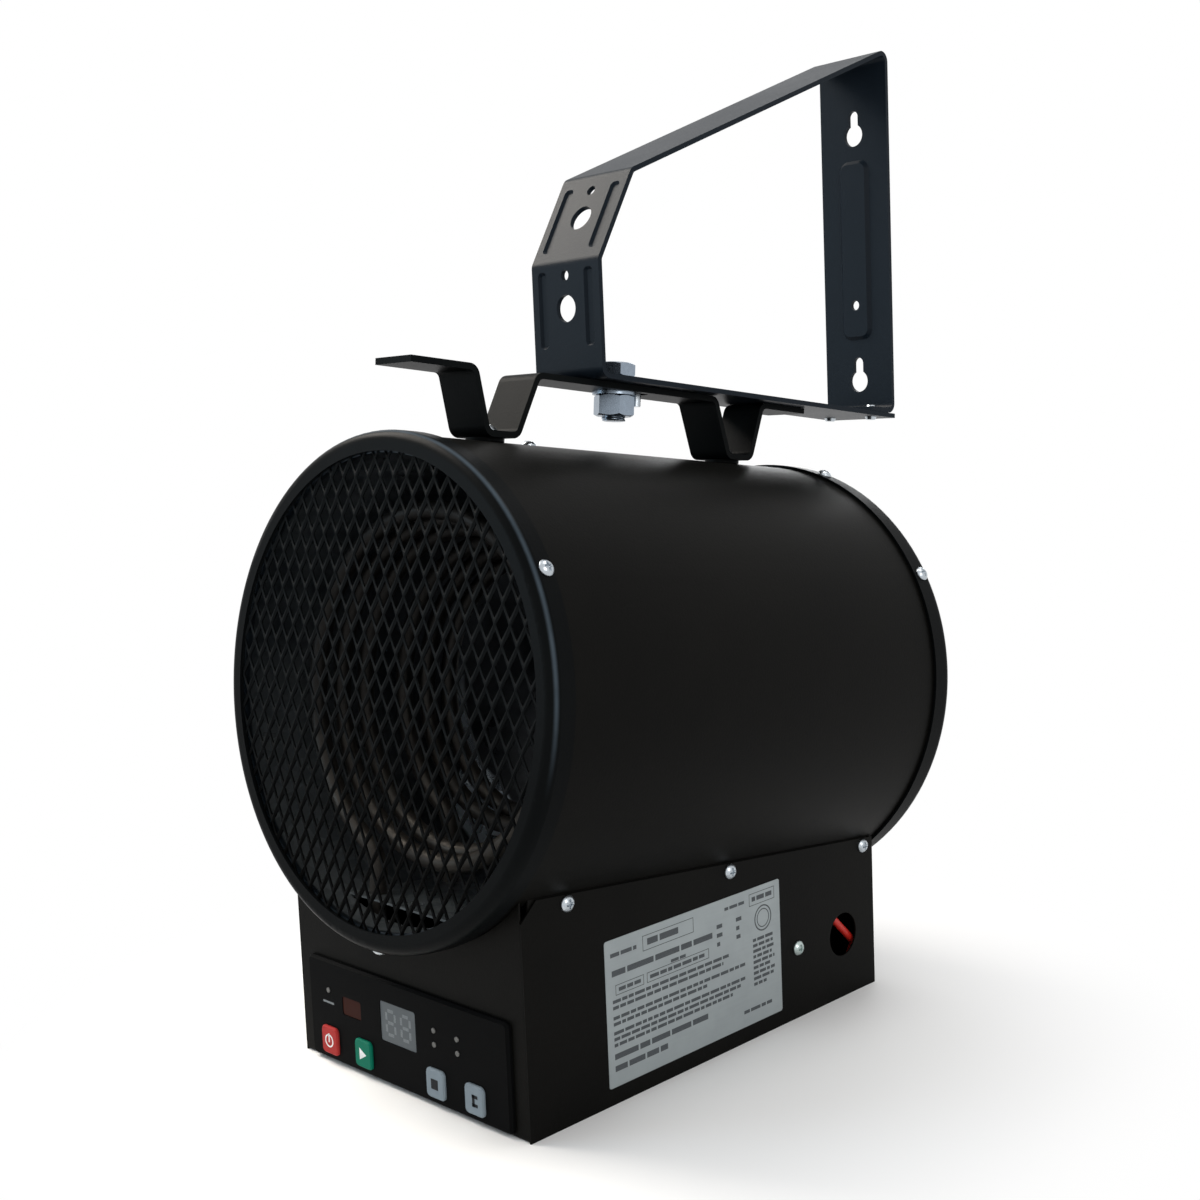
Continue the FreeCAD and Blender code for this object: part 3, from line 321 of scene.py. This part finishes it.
# painted sheen and shade: a bluish, lighter copy of the black coat stands in for the strands' bluish sheen,
# and the last colour is the painted shade low down
meshSheenShadeCoat = powderCoat("meshSheenShadePowderCoat", (0.0046, 0.0056, 0.0063), (0.006, 0.007, 0.0076), 0.4, 1500, 0.018,
                      (0.0014, 0.0015, 0.0015))
zinc = zincPlate("brightZinc", (0.5, 0.55, 0.6), (0.42, 0.45, 0.47))
boltZinc = zincPlate("boltZinc", (0.3, 0.36, 0.43), (0.22, 0.26, 0.31))
greenZinc = zincPlate("pairedZinc", (0.46, 0.54, 0.53), (0.4, 0.46, 0.44))
galvanised = spangled("galvanisedSheet", (0.18, 0.2, 0.21), (0.105, 0.12, 0.128))
sheath = heatTinted("elementSheath", (0.062, 0.054, 0.045), (0.033, 0.029, 0.025))
motorPaint = powderCoat("motorPaint", (0.02, 0.02, 0.021), (0.03, 0.029, 0.028), 0.45, 600, 0.4)
fanSheet = millMetal("fanSheet", (0.56, 0.57, 0.58), (0.44, 0.45, 0.46), 0.36)
panelPlastic = moulded("panelPlastic", (0.0026, 0.0028, 0.0030), (0.0035, 0.0037, 0.0039), 0.42, 1500, 0.014)
redCap = moulded("redButton", (0.36, 0.03, 0.028), (0.31, 0.026, 0.024), 0.42, 1400, 0.06)
greenCap = moulded("greenButton", (0.002, 0.14, 0.085), (0.002, 0.115, 0.072), 0.42, 1400, 0.06)
greyCap = moulded("greyButton", (0.19, 0.235, 0.268), (0.165, 0.2, 0.23), 0.42, 1400, 0.06)
displayPane = clearPane("displayPane", (0.075, 0.086, 0.094), (0.1, 0.112, 0.12), 0.4, 0.13)
receiverPane = clearPane("receiverPane", (0.028, 0.008, 0.0055), (0.036, 0.011, 0.0075), 0.35, 0.03)
lampLens = moulded("lampLens", (0.13, 0.13, 0.125), (0.095, 0.095, 0.09), 0.3, 900, 0.12)
boardLaminate = moulded("boardLaminate", (0.02, 0.09, 0.035), (0.025, 0.12, 0.045), 0.45)
blackPlastic = moulded("blackPlastic", (0.012, 0.012, 0.012), (0.018, 0.018, 0.018), 0.5)
leadRed = moulded("leadInsulation", (0.52, 0.02, 0.012), (0.42, 0.016, 0.01), 0.4)
labelFilm = foilLabel("labelFilm", (0.29, 0.325, 0.335), (0.24, 0.27, 0.28))
darkInk = printInk("darkInk", (0.01, 0.011, 0.013))
labelInk = printInk("labelInk", (0.056, 0.062, 0.068))
paleInk = printInk("paleInk", (0.6, 0.6, 0.6))
segmentInk = printInk("segmentInk", (0.125, 0.138, 0.146))
print("materials made,", len(bpy.data.materials))

finishOf = {
    "barrel_wrapper": coat, "control_chassis": coat, "side_panel_left": coat, "side_panel_right": coat,
    "front_bezel": ringCoat, "rear_ring": ringCoat, "rear_guard": ringCoat, "front_mesh": meshSheenShadeCoat,
    "hanging_strap": strapShadeCoat, "wall_bracket": bracketSheenCoat, "strap_spacers": strapShadeCoat,
    "inner_liner": galvanised, "motor_bar": galvanised, "element_plate": galvanised, "bracket_rivets": zinc,
    "outer_element": sheath, "inner_element": sheath, "fan_motor": motorPaint, "fan_blade": fanSheet,
    "control_fascia": panelPlastic, "button_red": redCap, "button_green": greenCap, "button_mode": greyCap,
    "button_timer": greyCap, "display_window": displayPane, "receiver_window": receiverPane,
    "indicator_lamps": lampLens, "control_board": boardLaminate, "power_relay": blackPlastic,
    "terminal_block": blackPlastic, "limit_thermostat": blackPlastic, "supply_lead": leadRed,
    "ground_screw": greenZinc, "pivot_bolt": boltZinc, "pivot_nut": boltZinc, "lower_washer": boltZinc,
    "upper_washer": boltZinc,
}
for nodeName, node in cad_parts.items():
    node.data.materials.clear()
    node.data.materials.append(finishOf.get(nodeName, zinc))
print("frame nodes painted")

# Front mesh: staggered diamonds of expanded sheet, each side a slanted ribbon, held by a rim behind the ring
meshNet = {"front": 1.35, "pitchAcross": 9.1, "pitchUp": 17.0, "hole": (0.84, 0.73), "sheet": 0.9,
           "reach": 108.6, "dish": 0.25, "leans": (0.15, 0.55, 0.15, -0.25), "rimInner": 105.3,
           "rimOuter": 109.2, "rimBack": 0.05, "rimThick": 1.0}


def buildMesh(net):
    # a tile is the pitch diamond, its hole that diamond times the two hole shares;
    # leans push the hole's corners in or out, and what lies beyond reach is drawn in to reach
    halves = np.array((net["pitchAcross"] / 2, net["pitchUp"] / 2))
    count = int(net["reach"] / halves.min()) + 2
    column, row = np.meshgrid(np.arange(-count, count + 1), np.arange(-count, count + 1))
    keep = (column + row) % 2 == 0
    centres = np.stack([column[keep], row[keep]], -1) * halves
    centres = centres[np.hypot(*centres.T) < net["reach"]]
    corner = np.array([(1, 0), (0, 1), (-1, 0), (0, -1)]) * halves
    middle = centres[:, None, :]
    flat = np.concatenate([middle + corner, middle + corner * np.array(net["hole"])], 1)
    flat = flat * np.minimum(1, net["reach"] / np.linalg.norm(flat, axis=-1, keepdims=True).clip(1e-6))
    depth = net["front"] + np.concatenate([np.zeros(4), net["dish"] + np.array(net["leans"])])
    points = np.stack([flat[..., 0], np.broadcast_to(depth, flat.shape[:2]), flat[..., 1]], -1).reshape(-1, 3)
    side = np.arange(4)
    quad = np.stack([side, (side + 1) % 4, 4 + (side + 1) % 4, 4 + side], -1)
    faces = (quad[None] + 8 * np.arange(len(centres))[:, None, None]).reshape(-1, 4)
    print("mesh openings", len(centres))
    return onBarrel(points), faces


netPoints, netFaces = buildMesh(meshNet)
netPiece = addPiece("mesh_net", netPoints, netFaces, "heater", meshSheenShadeCoat, 20)
if Vector(alongBarrel((0, -1, 0))).dot(netPiece.data.polygons[0].normal) < 0:
    netPiece.data.flip_normals()
thick = netPiece.modifiers.new("sheet", "SOLIDIFY")
thick.thickness = meshNet["sheet"] * mm
thick.offset = -1
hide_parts("front_mesh")


def latheFaces(profile, segments):
    # profile (radius, height) pairs carried round the third axis
    profile = np.asarray(profile, float)
    angle = np.linspace(0, 2 * np.pi, segments, endpoint=False)
    ring = np.stack([np.cos(angle), np.sin(angle)], -1)
    across = profile[:, None, :1] * ring[None]
    up = np.broadcast_to(profile[:, None, 1:], (len(profile), segments, 1))
    return np.concatenate([across, up], -1).reshape(-1, 3), gridFaces(len(profile), segments)


rimLoop = [(meshNet["rimInner"], 0), (meshNet["rimOuter"], 0), (meshNet["rimOuter"], meshNet["rimThick"]),
           (meshNet["rimInner"], meshNet["rimThick"]), (meshNet["rimInner"], 0)]
rimShape, rimFaces = latheFaces(rimLoop, 96)
rimPoints = rimShape @ aimedFrame((0, 1, 0)) + np.array((0, meshNet["front"] + meshNet["rimBack"], 0))
rimPiece = addPiece("mesh_rim", onBarrel(rimPoints), rimFaces, "heater", meshSheenShadeCoat)
print("mesh made")

# Screws: a pan head with a cross recess over a plain shank
screwSizes = {
    "sheet": {"head": 3.7, "rise": 2.3, "shank": 1.85, "length": 6.2, "recess": 2.1, "arm": 0.55,
              "sink": 1.2},
    "strap": {"head": 5.6, "rise": 3.4, "shank": 2.95, "length": 10.0, "recess": 3.2, "arm": 0.85,
              "sink": 1.8},
    "lock": {"head": 4.2, "rise": 2.6, "shank": 2.45, "length": 11.5, "recess": 2.4, "arm": 0.65,
             "sink": 1.4},
}
screwPlaces = {"side": 80.6, "sideLevel": -84.0, "sideBehind": (43.8, 149.8, 255.8), "strapLevel": 117.45,
               "strapBehind": (60.8, 228.8), "motorAcross": 27.0, "motorBehind": 216.0, "bezelBehind": 8.6,
               "bezelAngles": (30, 150, 270), "rearBehind": 273.0, "rearAngles": (30, 72, 108, 150),
               "liner": (0, 88.0, 112.85), "lock": (0, 160.5, 148.85), "ground": (80.6, 58.8, 35.4)}


def screwShape(size, segments=48):
    # top rings follow a flattened dome, sunk where a ring point lies in one of the two crossed arms
    radius = size["head"] * np.concatenate([np.linspace(0, 0.62, 14), (0.72, 0.82, 0.9, 0.96, 1.0)])
    dome = size["rise"] * (1 - 0.75 * (radius / size["head"]) ** 3.2)
    tail = [(size["head"], 0.0), (size["shank"], 0.0), (size["shank"], -size["length"]),
            (0.0, -size["length"])]
    profile = np.concatenate([np.stack([radius, dome], -1), np.array(tail)])
    points, faces = latheFaces(profile, segments)
    reach = np.hypot(points[:, 0], points[:, 1])
    nearArm = np.minimum(np.abs(points[:, 0]), np.abs(points[:, 1]))
    inArm = np.clip((size["arm"] - nearArm) / 0.25 + 0.5, 0, 1)
    inRecess = np.clip((size["recess"] - reach) / 0.5, 0, 1)
    points[:, 2] -= np.where(points[:, 2] > 0, inArm * inRecess * size["sink"], 0)
    return points, faces


def ringSpots(angles, behind):
    turn = np.radians(angles)
    outward = np.stack([np.cos(turn), 0 * turn, np.sin(turn)], -1)
    spots = onBarrel(outward * (barrel["radius"] + barrel["headGap"]) + np.array((0, behind, 0)))
    return list(zip(spots, alongBarrel(outward)))


topWay = alongBarrel((0, 0, 1))
sideSpots = [(onBarrel((side * screwPlaces["side"], behind, screwPlaces["sideLevel"])), (side, 0, 0))
             for side in (-1, 1) for behind in screwPlaces["sideBehind"]]
strapSpots = [(onBarrel((0, behind, screwPlaces["strapLevel"])), topWay)
              for behind in screwPlaces["strapBehind"]]
motorSpots = [(onBarrel((side * screwPlaces["motorAcross"], screwPlaces["motorBehind"], 0)),
               alongBarrel((0, -1, 0))) for side in (-1, 1)]
screwSets = [
    ("bezel_screws", "sheet", ringSpots(screwPlaces["bezelAngles"], screwPlaces["bezelBehind"]), "heater"),
    ("rear_screws", "sheet", ringSpots(screwPlaces["rearAngles"], screwPlaces["rearBehind"]), "heater"),
    ("side_screws", "sheet", sideSpots, "heater"),
    ("liner_screw", "sheet", [(onBarrel(screwPlaces["liner"]), topWay)], "heater"),
    ("motor_screws", "sheet", motorSpots, "heater"),
    ("strap_screws", "strap", strapSpots, "heater"),
    ("lock_screw", "lock", [(onBarrel(screwPlaces["lock"]), topWay)], "bracket"),
    ("ground_screw", "sheet", [(screwPlaces["ground"], (1, 0, 0))], "heater"),
]
for nodeName, kind, spots, body in screwSets:
    shape, faces = screwShape(screwSizes[kind])
    points, faces = stackCopies(shape, faces, spots)
    grounded = nodeName == "ground_screw"
    screws = addPiece(nodeName + "_cross", points, faces, body, greenZinc if grounded else zinc, 40)
    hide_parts(nodeName)
print("screws made")

# Swivel bolt and nut: chamfered hexagons, with a rolled thread below the nut
hexSizes = {"flats": 18.0, "chamfer": 0.55, "headRise": 7.0, "nutRise": 10.5, "bolt": 6.0, "nutGap": 0.05,
            "threadDepth": 0.45, "threadPitch": 1.75, "stemInHead": 0.5}
boltLevels = {"behind": 144.8, "headLow": 150.55, "clampTop": 141.65, "end": 128.65}


def hexShape(size, rise, hole):
    # ring radius = share x hexagon radius; the top falls away outside the inscribed circle
    angle = np.linspace(0, 2 * np.pi, 72, endpoint=False)
    sector = (angle + np.pi / 6) % (np.pi / 3) - np.pi / 6
    hexRadius = size["flats"] / 2 / np.cos(sector)
    share = np.concatenate([[0.0 if hole == 0 else hole / (size["flats"] / 2)], np.linspace(0.84, 1.0, 7)])
    radius = share[:, None] * hexRadius[None, :]
    if hole:
        radius[0] = hole
    fall = np.clip(radius - size["flats"] / 2 * 0.955, 0, None) * size["chamfer"]
    allRadius = np.concatenate([radius, radius[::-1]])
    allLevel = np.concatenate([rise - fall, fall[::-1]])
    points = np.stack([allRadius * np.cos(angle), allRadius * np.sin(angle), allLevel], -1)
    if hole:
        points = np.concatenate([points, points[:1]])
    return points.reshape(-1, 3), gridFaces(len(points), len(angle))


def threadShape(size, low, high):
    # radius = bolt radius less a rounded groove whose phase turns once per pitch
    angle = np.linspace(0, 2 * np.pi, 40, endpoint=False)
    level = np.arange(low, high, size["threadPitch"] / 8)
    phase = level[:, None] / size["threadPitch"] - angle[None, :] / (2 * np.pi)
    radius = size["bolt"] - size["threadDepth"] * (0.5 - 0.5 * np.cos(2 * np.pi * phase))
    radius = radius * np.clip((high - level[:, None]) / 1.2 + 0.75, 0, 1)
    up = np.broadcast_to(level[:, None], radius.shape)
    points = np.stack([radius * np.cos(angle), radius * np.sin(angle), up], -1)
    caps = np.zeros((1, len(angle), 3))
    low, high = caps + (0, 0, points[0, 0, 2]), caps + (0, 0, points[-1, 0, 2])
    points = np.concatenate([low, points, high])
    return points.reshape(-1, 3), gridFaces(len(points), len(angle))


def onBolt(points):
    return onBarrel(points + np.array((0, boltLevels["behind"], 0)))


headPoints, headFaces = hexShape(hexSizes, hexSizes["headRise"], 0)
headPoints = headPoints + np.array((0, 0, boltLevels["headLow"]))
stemTop = boltLevels["headLow"] + hexSizes["stemInHead"]
stemPoints, stemFaces = threadShape(hexSizes, -stemTop, -boltLevels["end"])
stemPoints = stemPoints * (1, 1, -1)
boltPoints = np.concatenate([headPoints, stemPoints])
boltFaces = headFaces + [[index + len(headPoints) for index in face] for face in stemFaces]
boltPiece = addPiece("pivot_bolt_hex", onBolt(boltPoints), boltFaces, "heater", boltZinc, 25)
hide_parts("pivot_bolt")
nutPoints, nutFaces = hexShape(hexSizes, hexSizes["nutRise"], hexSizes["bolt"] + hexSizes["nutGap"])
nutPoints = nutPoints + np.array((0, 0, boltLevels["clampTop"] - hexSizes["nutRise"]))
nutPiece = addPiece("pivot_nut_hex", onBolt(nutPoints), nutFaces, "heater", boltZinc, 25)
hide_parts("pivot_nut")
print("swivel bolt made")

# Rating label on the box's right side: a silver film with bars in place of its print
label = {"side": 80.6, "front": -76.0, "rear": 45.0, "low": 7.8, "high": 74.0, "round": 1.2, "film": 0.2,
         "inkSink": 0.05, "inkLift": 0.03, "seed": 7}
labelRows = [
    {"top": 6.2, "tall": 1.8, "left": 3.5, "right": 20, "word": 5},
    {"top": 5.2, "tall": 3.0, "left": 27, "right": 50, "word": 9},
    {"top": 4.6, "tall": 1.5, "left": 80, "right": 95, "word": 4},
    {"top": 4.4, "tall": 2.2, "left": 100, "right": 115, "word": 5},
    {"top": 14.0, "tall": 2.7, "left": 4, "right": 71, "word": 12},
    {"top": 19.0, "tall": 1.4, "left": 42, "right": 52, "word": 4},
    {"top": 22.2, "tall": 1.7, "left": 8, "right": 22, "word": 5},
    {"top": 22.2, "tall": 1.7, "left": 28, "right": 66, "word": 5},
    {"top": 51.4, "tall": 2.6, "left": 4, "right": 66, "word": 10},
    {"top": 56.8, "tall": 2.6, "left": 4, "right": 38, "word": 10},
    {"top": 58.2, "tall": 1.6, "left": 92, "right": 113, "word": 5},
]
labelLines = ((27.2, 82), (30.0, 78), (34.6, 95), (37.3, 66), (41.4, 95), (44.1, 90), (46.8, 84))
labelRows += [{"top": top, "tall": 1.5, "left": 4, "right": right, "word": 4.6} for top, right in labelLines]
labelRows += [{"top": 25.0 + 2.7 * step, "tall": 1.5, "left": 100, "right": right, "word": 4.0}
              for step, right in enumerate((116, 115, 117, 114, 116, 113, 116, 115, 110))]
labelRows += [{"top": 11.4 + 4.2 * step, "tall": 1.9, "left": left, "right": left + 4, "word": 4.0}
              for step in (0, 1, 2) for left in (74, 88)]
labelFrames = [(24, 3.4, 58, 10.4), (98, 2.6, 117, 8.6), (6, 20.7, 24, 25.4), (26, 20.7, 68, 25.4)]
labelRings = {"middle": (108, -16.2), "sizes": ((6.4, 5.7), (4.6, 4.1))}


def roundedOutline(width, height, radius, perCorner=6):
    # quarter arcs at the four corners, counter-clockwise about the middle
    quarter = np.linspace(0, np.pi / 2, perCorner)
    start = np.arange(4)[:, None] * np.pi / 2
    angle = start + quarter[None, :]
    signs = np.array([(1, 1), (-1, 1), (-1, -1), (1, -1)])[:, None, :]
    middle = signs * (np.array((width, height)) / 2 - radius)
    return (middle + radius * np.stack([np.cos(angle), np.sin(angle)], -1)).reshape(-1, 2)


def plateShape(outline, low, high):
    # an outline raised from low to high, closed by a face at each end
    count = len(outline)
    points = np.concatenate([np.column_stack([outline, np.full(count, level)]) for level in (low, high)])
    faces = gridFaces(2, count) + [list(range(count)), list(range(count, 2 * count))]
    return points, faces


def barShapes(boxes, low, high):
    # one thin block for each (left, bottom, right, top)
    boxes = np.asarray(boxes, float)
    corner = boxes[:, [[0, 1], [2, 1], [2, 3], [0, 3]]]
    base = np.concatenate([corner, np.full((len(boxes), 4, 1), low)], -1)
    top = np.concatenate([corner, np.full((len(boxes), 4, 1), high)], -1)
    points = np.concatenate([base, top], 1).reshape(-1, 3)
    block = np.array([(0, 1, 2, 3), (4, 5, 6, 7), (0, 1, 5, 4), (1, 2, 6, 5), (2, 3, 7, 6), (3, 0, 4, 7)])
    faces = (block[None] + 8 * np.arange(len(boxes))[:, None, None]).reshape(-1, 4)
    return points, faces


def wordBars(rows, seed):
    # each row is cut into bars of uneven width with a gap after each
    draw = np.random.default_rng(seed)
    bars = []
    for row in rows:
        width = draw.uniform(0.5, 1.5, 40) * row["word"]
        gap = 0.3 * row["tall"] + 0.35
        left = row["left"] + np.concatenate([[0], np.cumsum(width + gap)[:-1]])
        right = np.minimum(left + width, row["right"])
        keep = right - left > gap
        stack = np.stack([left, 0 * left - row["top"] - row["tall"], right, 0 * left - row["top"]], -1)
        bars.append(stack[keep])
    return np.concatenate(bars)


def frameBars(frames, line=0.3):
    # four thin bars round each (left, top, right, bottom)
    left, top, right, bottom = np.asarray(frames, float).T
    sides = [(left, -bottom, right, line - bottom), (left, -top - line, right, -top),
             (left, -bottom, left + line, -top), (right - line, -bottom, right, -top)]
    return np.concatenate([np.stack(side, -1) for side in sides])


def ringShape(middle, outer, inner, low, high):
    # a flat ring: outer wall, top, inner wall and underside as one closed loop
    loop = [(inner, low), (outer, low), (outer, high), (inner, high), (inner, low)]
    points, faces = latheFaces(loop, 40)
    return points + np.array((*middle, 0)), faces


def joined(shapes):
    # several (points, faces) as one
    starts = np.cumsum([0] + [len(shape[0]) for shape in shapes])
    faces = [[index + int(start) for index in face]
             for shape, start in zip(shapes, starts) for face in shape[1]]
    return np.concatenate([shape[0] for shape in shapes]), faces


def onLabel(points):
    # u along +Y from the label's front edge, v down from its top edge, w out of the side panel
    u, v, w = points.T
    return np.column_stack([label["side"] + w, label["front"] + u, label["high"] + v])


labelWide = label["rear"] - label["front"]
labelTall = label["high"] - label["low"]
film = roundedOutline(labelWide, labelTall, label["round"]) + np.array((labelWide / 2, -labelTall / 2))
filmPoints, filmFaces = plateShape(film, 0.0, label["film"])
addPiece("label_film", onLabel(filmPoints), filmFaces, "heater", labelFilm)
inkLow = label["film"] - label["inkSink"]
inkHigh = label["film"] + label["inkLift"]
labelBars = np.concatenate([wordBars(labelRows, label["seed"]), frameBars(labelFrames)])
labelPrint = [barShapes(labelBars, inkLow, inkHigh)]
labelPrint += [ringShape(labelRings["middle"], *radii, inkLow, inkHigh) for radii in labelRings["sizes"]]
barPoints, barFaces = joined(labelPrint)
addPiece("label_bars", onLabel(barPoints), barFaces, "heater", labelInk, 30, False)
print("label made")

# Control panel print: a bar by the lamps, button signs and the display's unlit segments
panel = {"face": -125.5, "capProud": 1.4, "sink": -0.05, "lift": 0.12, "displaySink": 0.3,
         "mark": (-60.4, 29.4, -52.0, 30.4), "markLift": 0.05}
figures = {"middles": (-8.6, 2.2), "level": 31.0, "wide": 6.2, "tall": 11.2, "stroke": 1.5, "lift": 0.04}
signs = {"level": 11.5, "red": -55.6, "green": -29.4, "mode": 23.0, "timer": 49.2, "ring": (3.2, 2.5),
         "stroke": (0.8, 4.2), "strokeUp": 1.4, "arrow": ((-2.2, -2.8), (2.8, 0.0), (-2.2, 2.8)),
         "square": (4.6, 4.6), "stem": (1.5, 5.4), "foot": (3.6, 1.4), "footAside": 0.9, "footUp": 1.9}


def onPanel(points, face):
    # u is X, v is Z, w stands out of the panel towards the front
    u, v, w = points.T
    return np.column_stack([u, face - w, v])


markPoints, markFaces = barShapes([panel["mark"]], panel["sink"], panel["markLift"])
addPiece("panel_marks", onPanel(markPoints, panel["face"]), markFaces, "heater", segmentInk, 30, False)


def segmentBars(middle, size):
    # the seven bars of one display figure: three across, two pairs upright
    half = size["wide"] / 2
    rise = size["tall"] / 2
    line = size["stroke"] / 2
    gap = size["stroke"] * 0.7
    level = size["level"]
    across = [(middle - half + gap, level + step * rise - line,
               middle + half - gap, level + step * rise + line) for step in (-1, 0, 1)]
    upright = [(middle + side * half - line, level + low * rise + gap,
                middle + side * half + line, level + (low + 1) * rise - gap)
               for side in (-1, 1) for low in (-1, 0)]
    return across + upright


figureBars = [bar for middle in figures["middles"] for bar in segmentBars(middle, figures)]
segmentPoints, segmentFaces = barShapes(figureBars, panel["sink"], figures["lift"])
displayFace = panel["face"] + panel["displaySink"]
addPiece("display_segments", onPanel(segmentPoints, displayFace), segmentFaces, "heater", segmentInk, 30,
         False)
capFace = panel["face"] - panel["capProud"]


def addSign(name, body, shapes, ink):
    points, faces = joined(shapes)
    return addPiece(name, onPanel(points, capFace), faces, body, ink, 30)


def signBar(middle, size, up=0.0):
    wide, tall = size
    level = signs["level"] + up
    box = (middle - wide / 2, level - tall / 2, middle + wide / 2, level + tall / 2)
    return barShapes([box], panel["sink"], panel["lift"])


redRing = ringShape((signs["red"], signs["level"]), *signs["ring"], panel["sink"], panel["lift"])
redStroke = signBar(signs["red"], signs["stroke"], signs["strokeUp"])
addSign("red_sign", "button_red_body", [redRing, redStroke], paleInk)
arrow = np.array(signs["arrow"]) + np.array((signs["green"], signs["level"]))
addSign("green_sign", "button_green_body", [plateShape(arrow, panel["sink"], panel["lift"])], paleInk)
addSign("mode_sign", "button_mode_body", [signBar(signs["mode"], signs["square"])], darkInk)
timerFeet = [signBar(signs["timer"] + signs["footAside"], signs["foot"], side * signs["footUp"])
             for side in (1, -1)]
addSign("timer_sign", "button_timer_body", [signBar(signs["timer"], signs["stem"])] + timerFeet, darkInk)
print("panel print made")

# Floor, light and camera
studio = {"floor": 30.0, "ambient": 0.55, "white": 1.0, "fade": (0.13, 0.3)}
seenKinds = ("Is Camera Ray", "Is Glossy Ray", "Is Transmission Ray")
floorMesh = bpy.data.meshes.new("floor")
reach = studio["floor"] / 2
floorMesh.from_pydata([(-reach, -reach, 0), (reach, -reach, 0), (reach, reach, 0), (-reach, reach, 0)], [],
                      [(0, 1, 2, 3)])
floor = bpy.data.objects.new("floor", floorMesh)
bpy.context.scene.collection.objects.link(floor)
floorPaint = Paint("paleFloor")
paleTone = floorPaint.mix(floorPaint.noise(3, 2), (0.9, 0.9, 0.9), (0.92, 0.92, 0.92))
paleShader = floorPaint.node("ShaderNodeBsdfPrincipled", None,
                             {"Base Color": paleTone, "Roughness": 0.8, "Specular IOR Level": 0.1})
whiteShader = floorPaint.node("ShaderNodeEmission", None,
                              {"Color": (1, 1, 1, 1), "Strength": studio["white"]})
fromMiddle = floorPaint.node("ShaderNodeVectorMath", {"operation": "LENGTH"},
                             {0: floorPaint.node("ShaderNodeTexCoord", out="Object")}, "Value")
farOff = floorPaint.ramp(fromMiddle, *studio["fade"])
direct, mirrored, passed = [floorPaint.node("ShaderNodeLightPath", out=kind) for kind in seenKinds]
looked = direct.maths("MAXIMUM", direct.maths("MAXIMUM", direct, mirrored), passed)
floorMix = floorPaint.node("ShaderNodeMixShader", None, {0: farOff * looked, 1: paleShader, 2: whiteShader})
floorPaint.close(floorMix)
floorMesh.materials.append(floorPaint.material)

world = bpy.data.worlds.new("studioWorld")
bpy.context.scene.world = world
world.use_nodes = True
sky = world.node_tree
sky.nodes.clear()
rays = sky.nodes.new("ShaderNodeLightPath")
seen = sky.nodes.new("ShaderNodeMath")
seen.operation = "MAXIMUM"
seenAll = sky.nodes.new("ShaderNodeMath")
seenAll.operation = "MAXIMUM"
level = sky.nodes.new("ShaderNodeMapRange")
level.inputs["To Min"].default_value = studio["ambient"]
level.inputs["To Max"].default_value = studio["white"]
glow = sky.nodes.new("ShaderNodeBackground")
glow.inputs["Color"].default_value = (1, 1, 1, 1)
skyEnd = sky.nodes.new("ShaderNodeOutputWorld")
sky.links.new(rays.outputs[seenKinds[0]], seen.inputs[0])
sky.links.new(rays.outputs[seenKinds[1]], seen.inputs[1])
sky.links.new(seen.outputs[0], seenAll.inputs[0])
sky.links.new(rays.outputs[seenKinds[2]], seenAll.inputs[1])
sky.links.new(seenAll.outputs[0], level.inputs["Value"])
sky.links.new(level.outputs[0], glow.inputs["Strength"])
sky.links.new(glow.outputs[0], skyEnd.inputs["Surface"])

lamps = [
    {"name": "keySoftbox", "at": (-1.2, -0.4, 1.55), "size": 1.0, "power": 42, "tone": (1, 0.94, 0.86)},
    {"name": "frontSoftbox", "at": (-1.0, -1.3, 0.5), "size": 0.6, "power": 4.2, "tone": (0.62, 0.84, 1)},
    {"name": "sideSoftbox", "at": (1.7, -0.5, 0.9), "size": 0.8, "power": 9.4, "tone": (1, 0.99, 0.97)},
    {"name": "rearSoftbox", "at": (-0.9, 1.8, 0.7), "size": 0.8, "power": 6, "tone": (0.97, 0.99, 1)},
    {"name": "topSoftbox", "at": (0.3, 0.5, 1.9), "size": 0.7, "power": 9, "tone": (1, 0.99, 0.97)},
]
lampAim = Vector((0, 0, 0.25))
for lamp in lamps:
    data = bpy.data.lights.new(lamp["name"], "AREA")
    data.size = lamp["size"]
    data.energy = lamp["power"]
    data.color = lamp["tone"]
    light = bpy.data.objects.new(lamp["name"], data)
    light.location = lamp["at"]
    light.rotation_euler = (lampAim - Vector(lamp["at"])).to_track_quat("-Z", "Y").to_euler()
    bpy.context.scene.collection.objects.link(light)

view = {"at": (0.545245, -0.533319, 0.292393), "right": (0.70896, 0.70406, -0.04092),
        "down": (0.04618, -0.10423, -0.99348), "forward": (-0.70374, 0.70245, -0.10641),
        "lens": 46.7, "sensor": 36.0}
cameraData = bpy.data.cameras.new("photoCamera")
cameraData.lens = view["lens"]
cameraData.sensor_width = view["sensor"]
camera = bpy.data.objects.new("photoCamera", cameraData)
bpy.context.scene.collection.objects.link(camera)
axes = [view["right"], [-part for part in view["down"]], [-part for part in view["forward"]]]
turn = Matrix(axes).transposed()
camera.matrix_world = Matrix.Translation(view["at"]) @ turn.to_4x4()
bpy.context.scene.camera = camera
bpy.context.scene.view_settings.view_transform = "Standard"
print("floor, light and camera set")
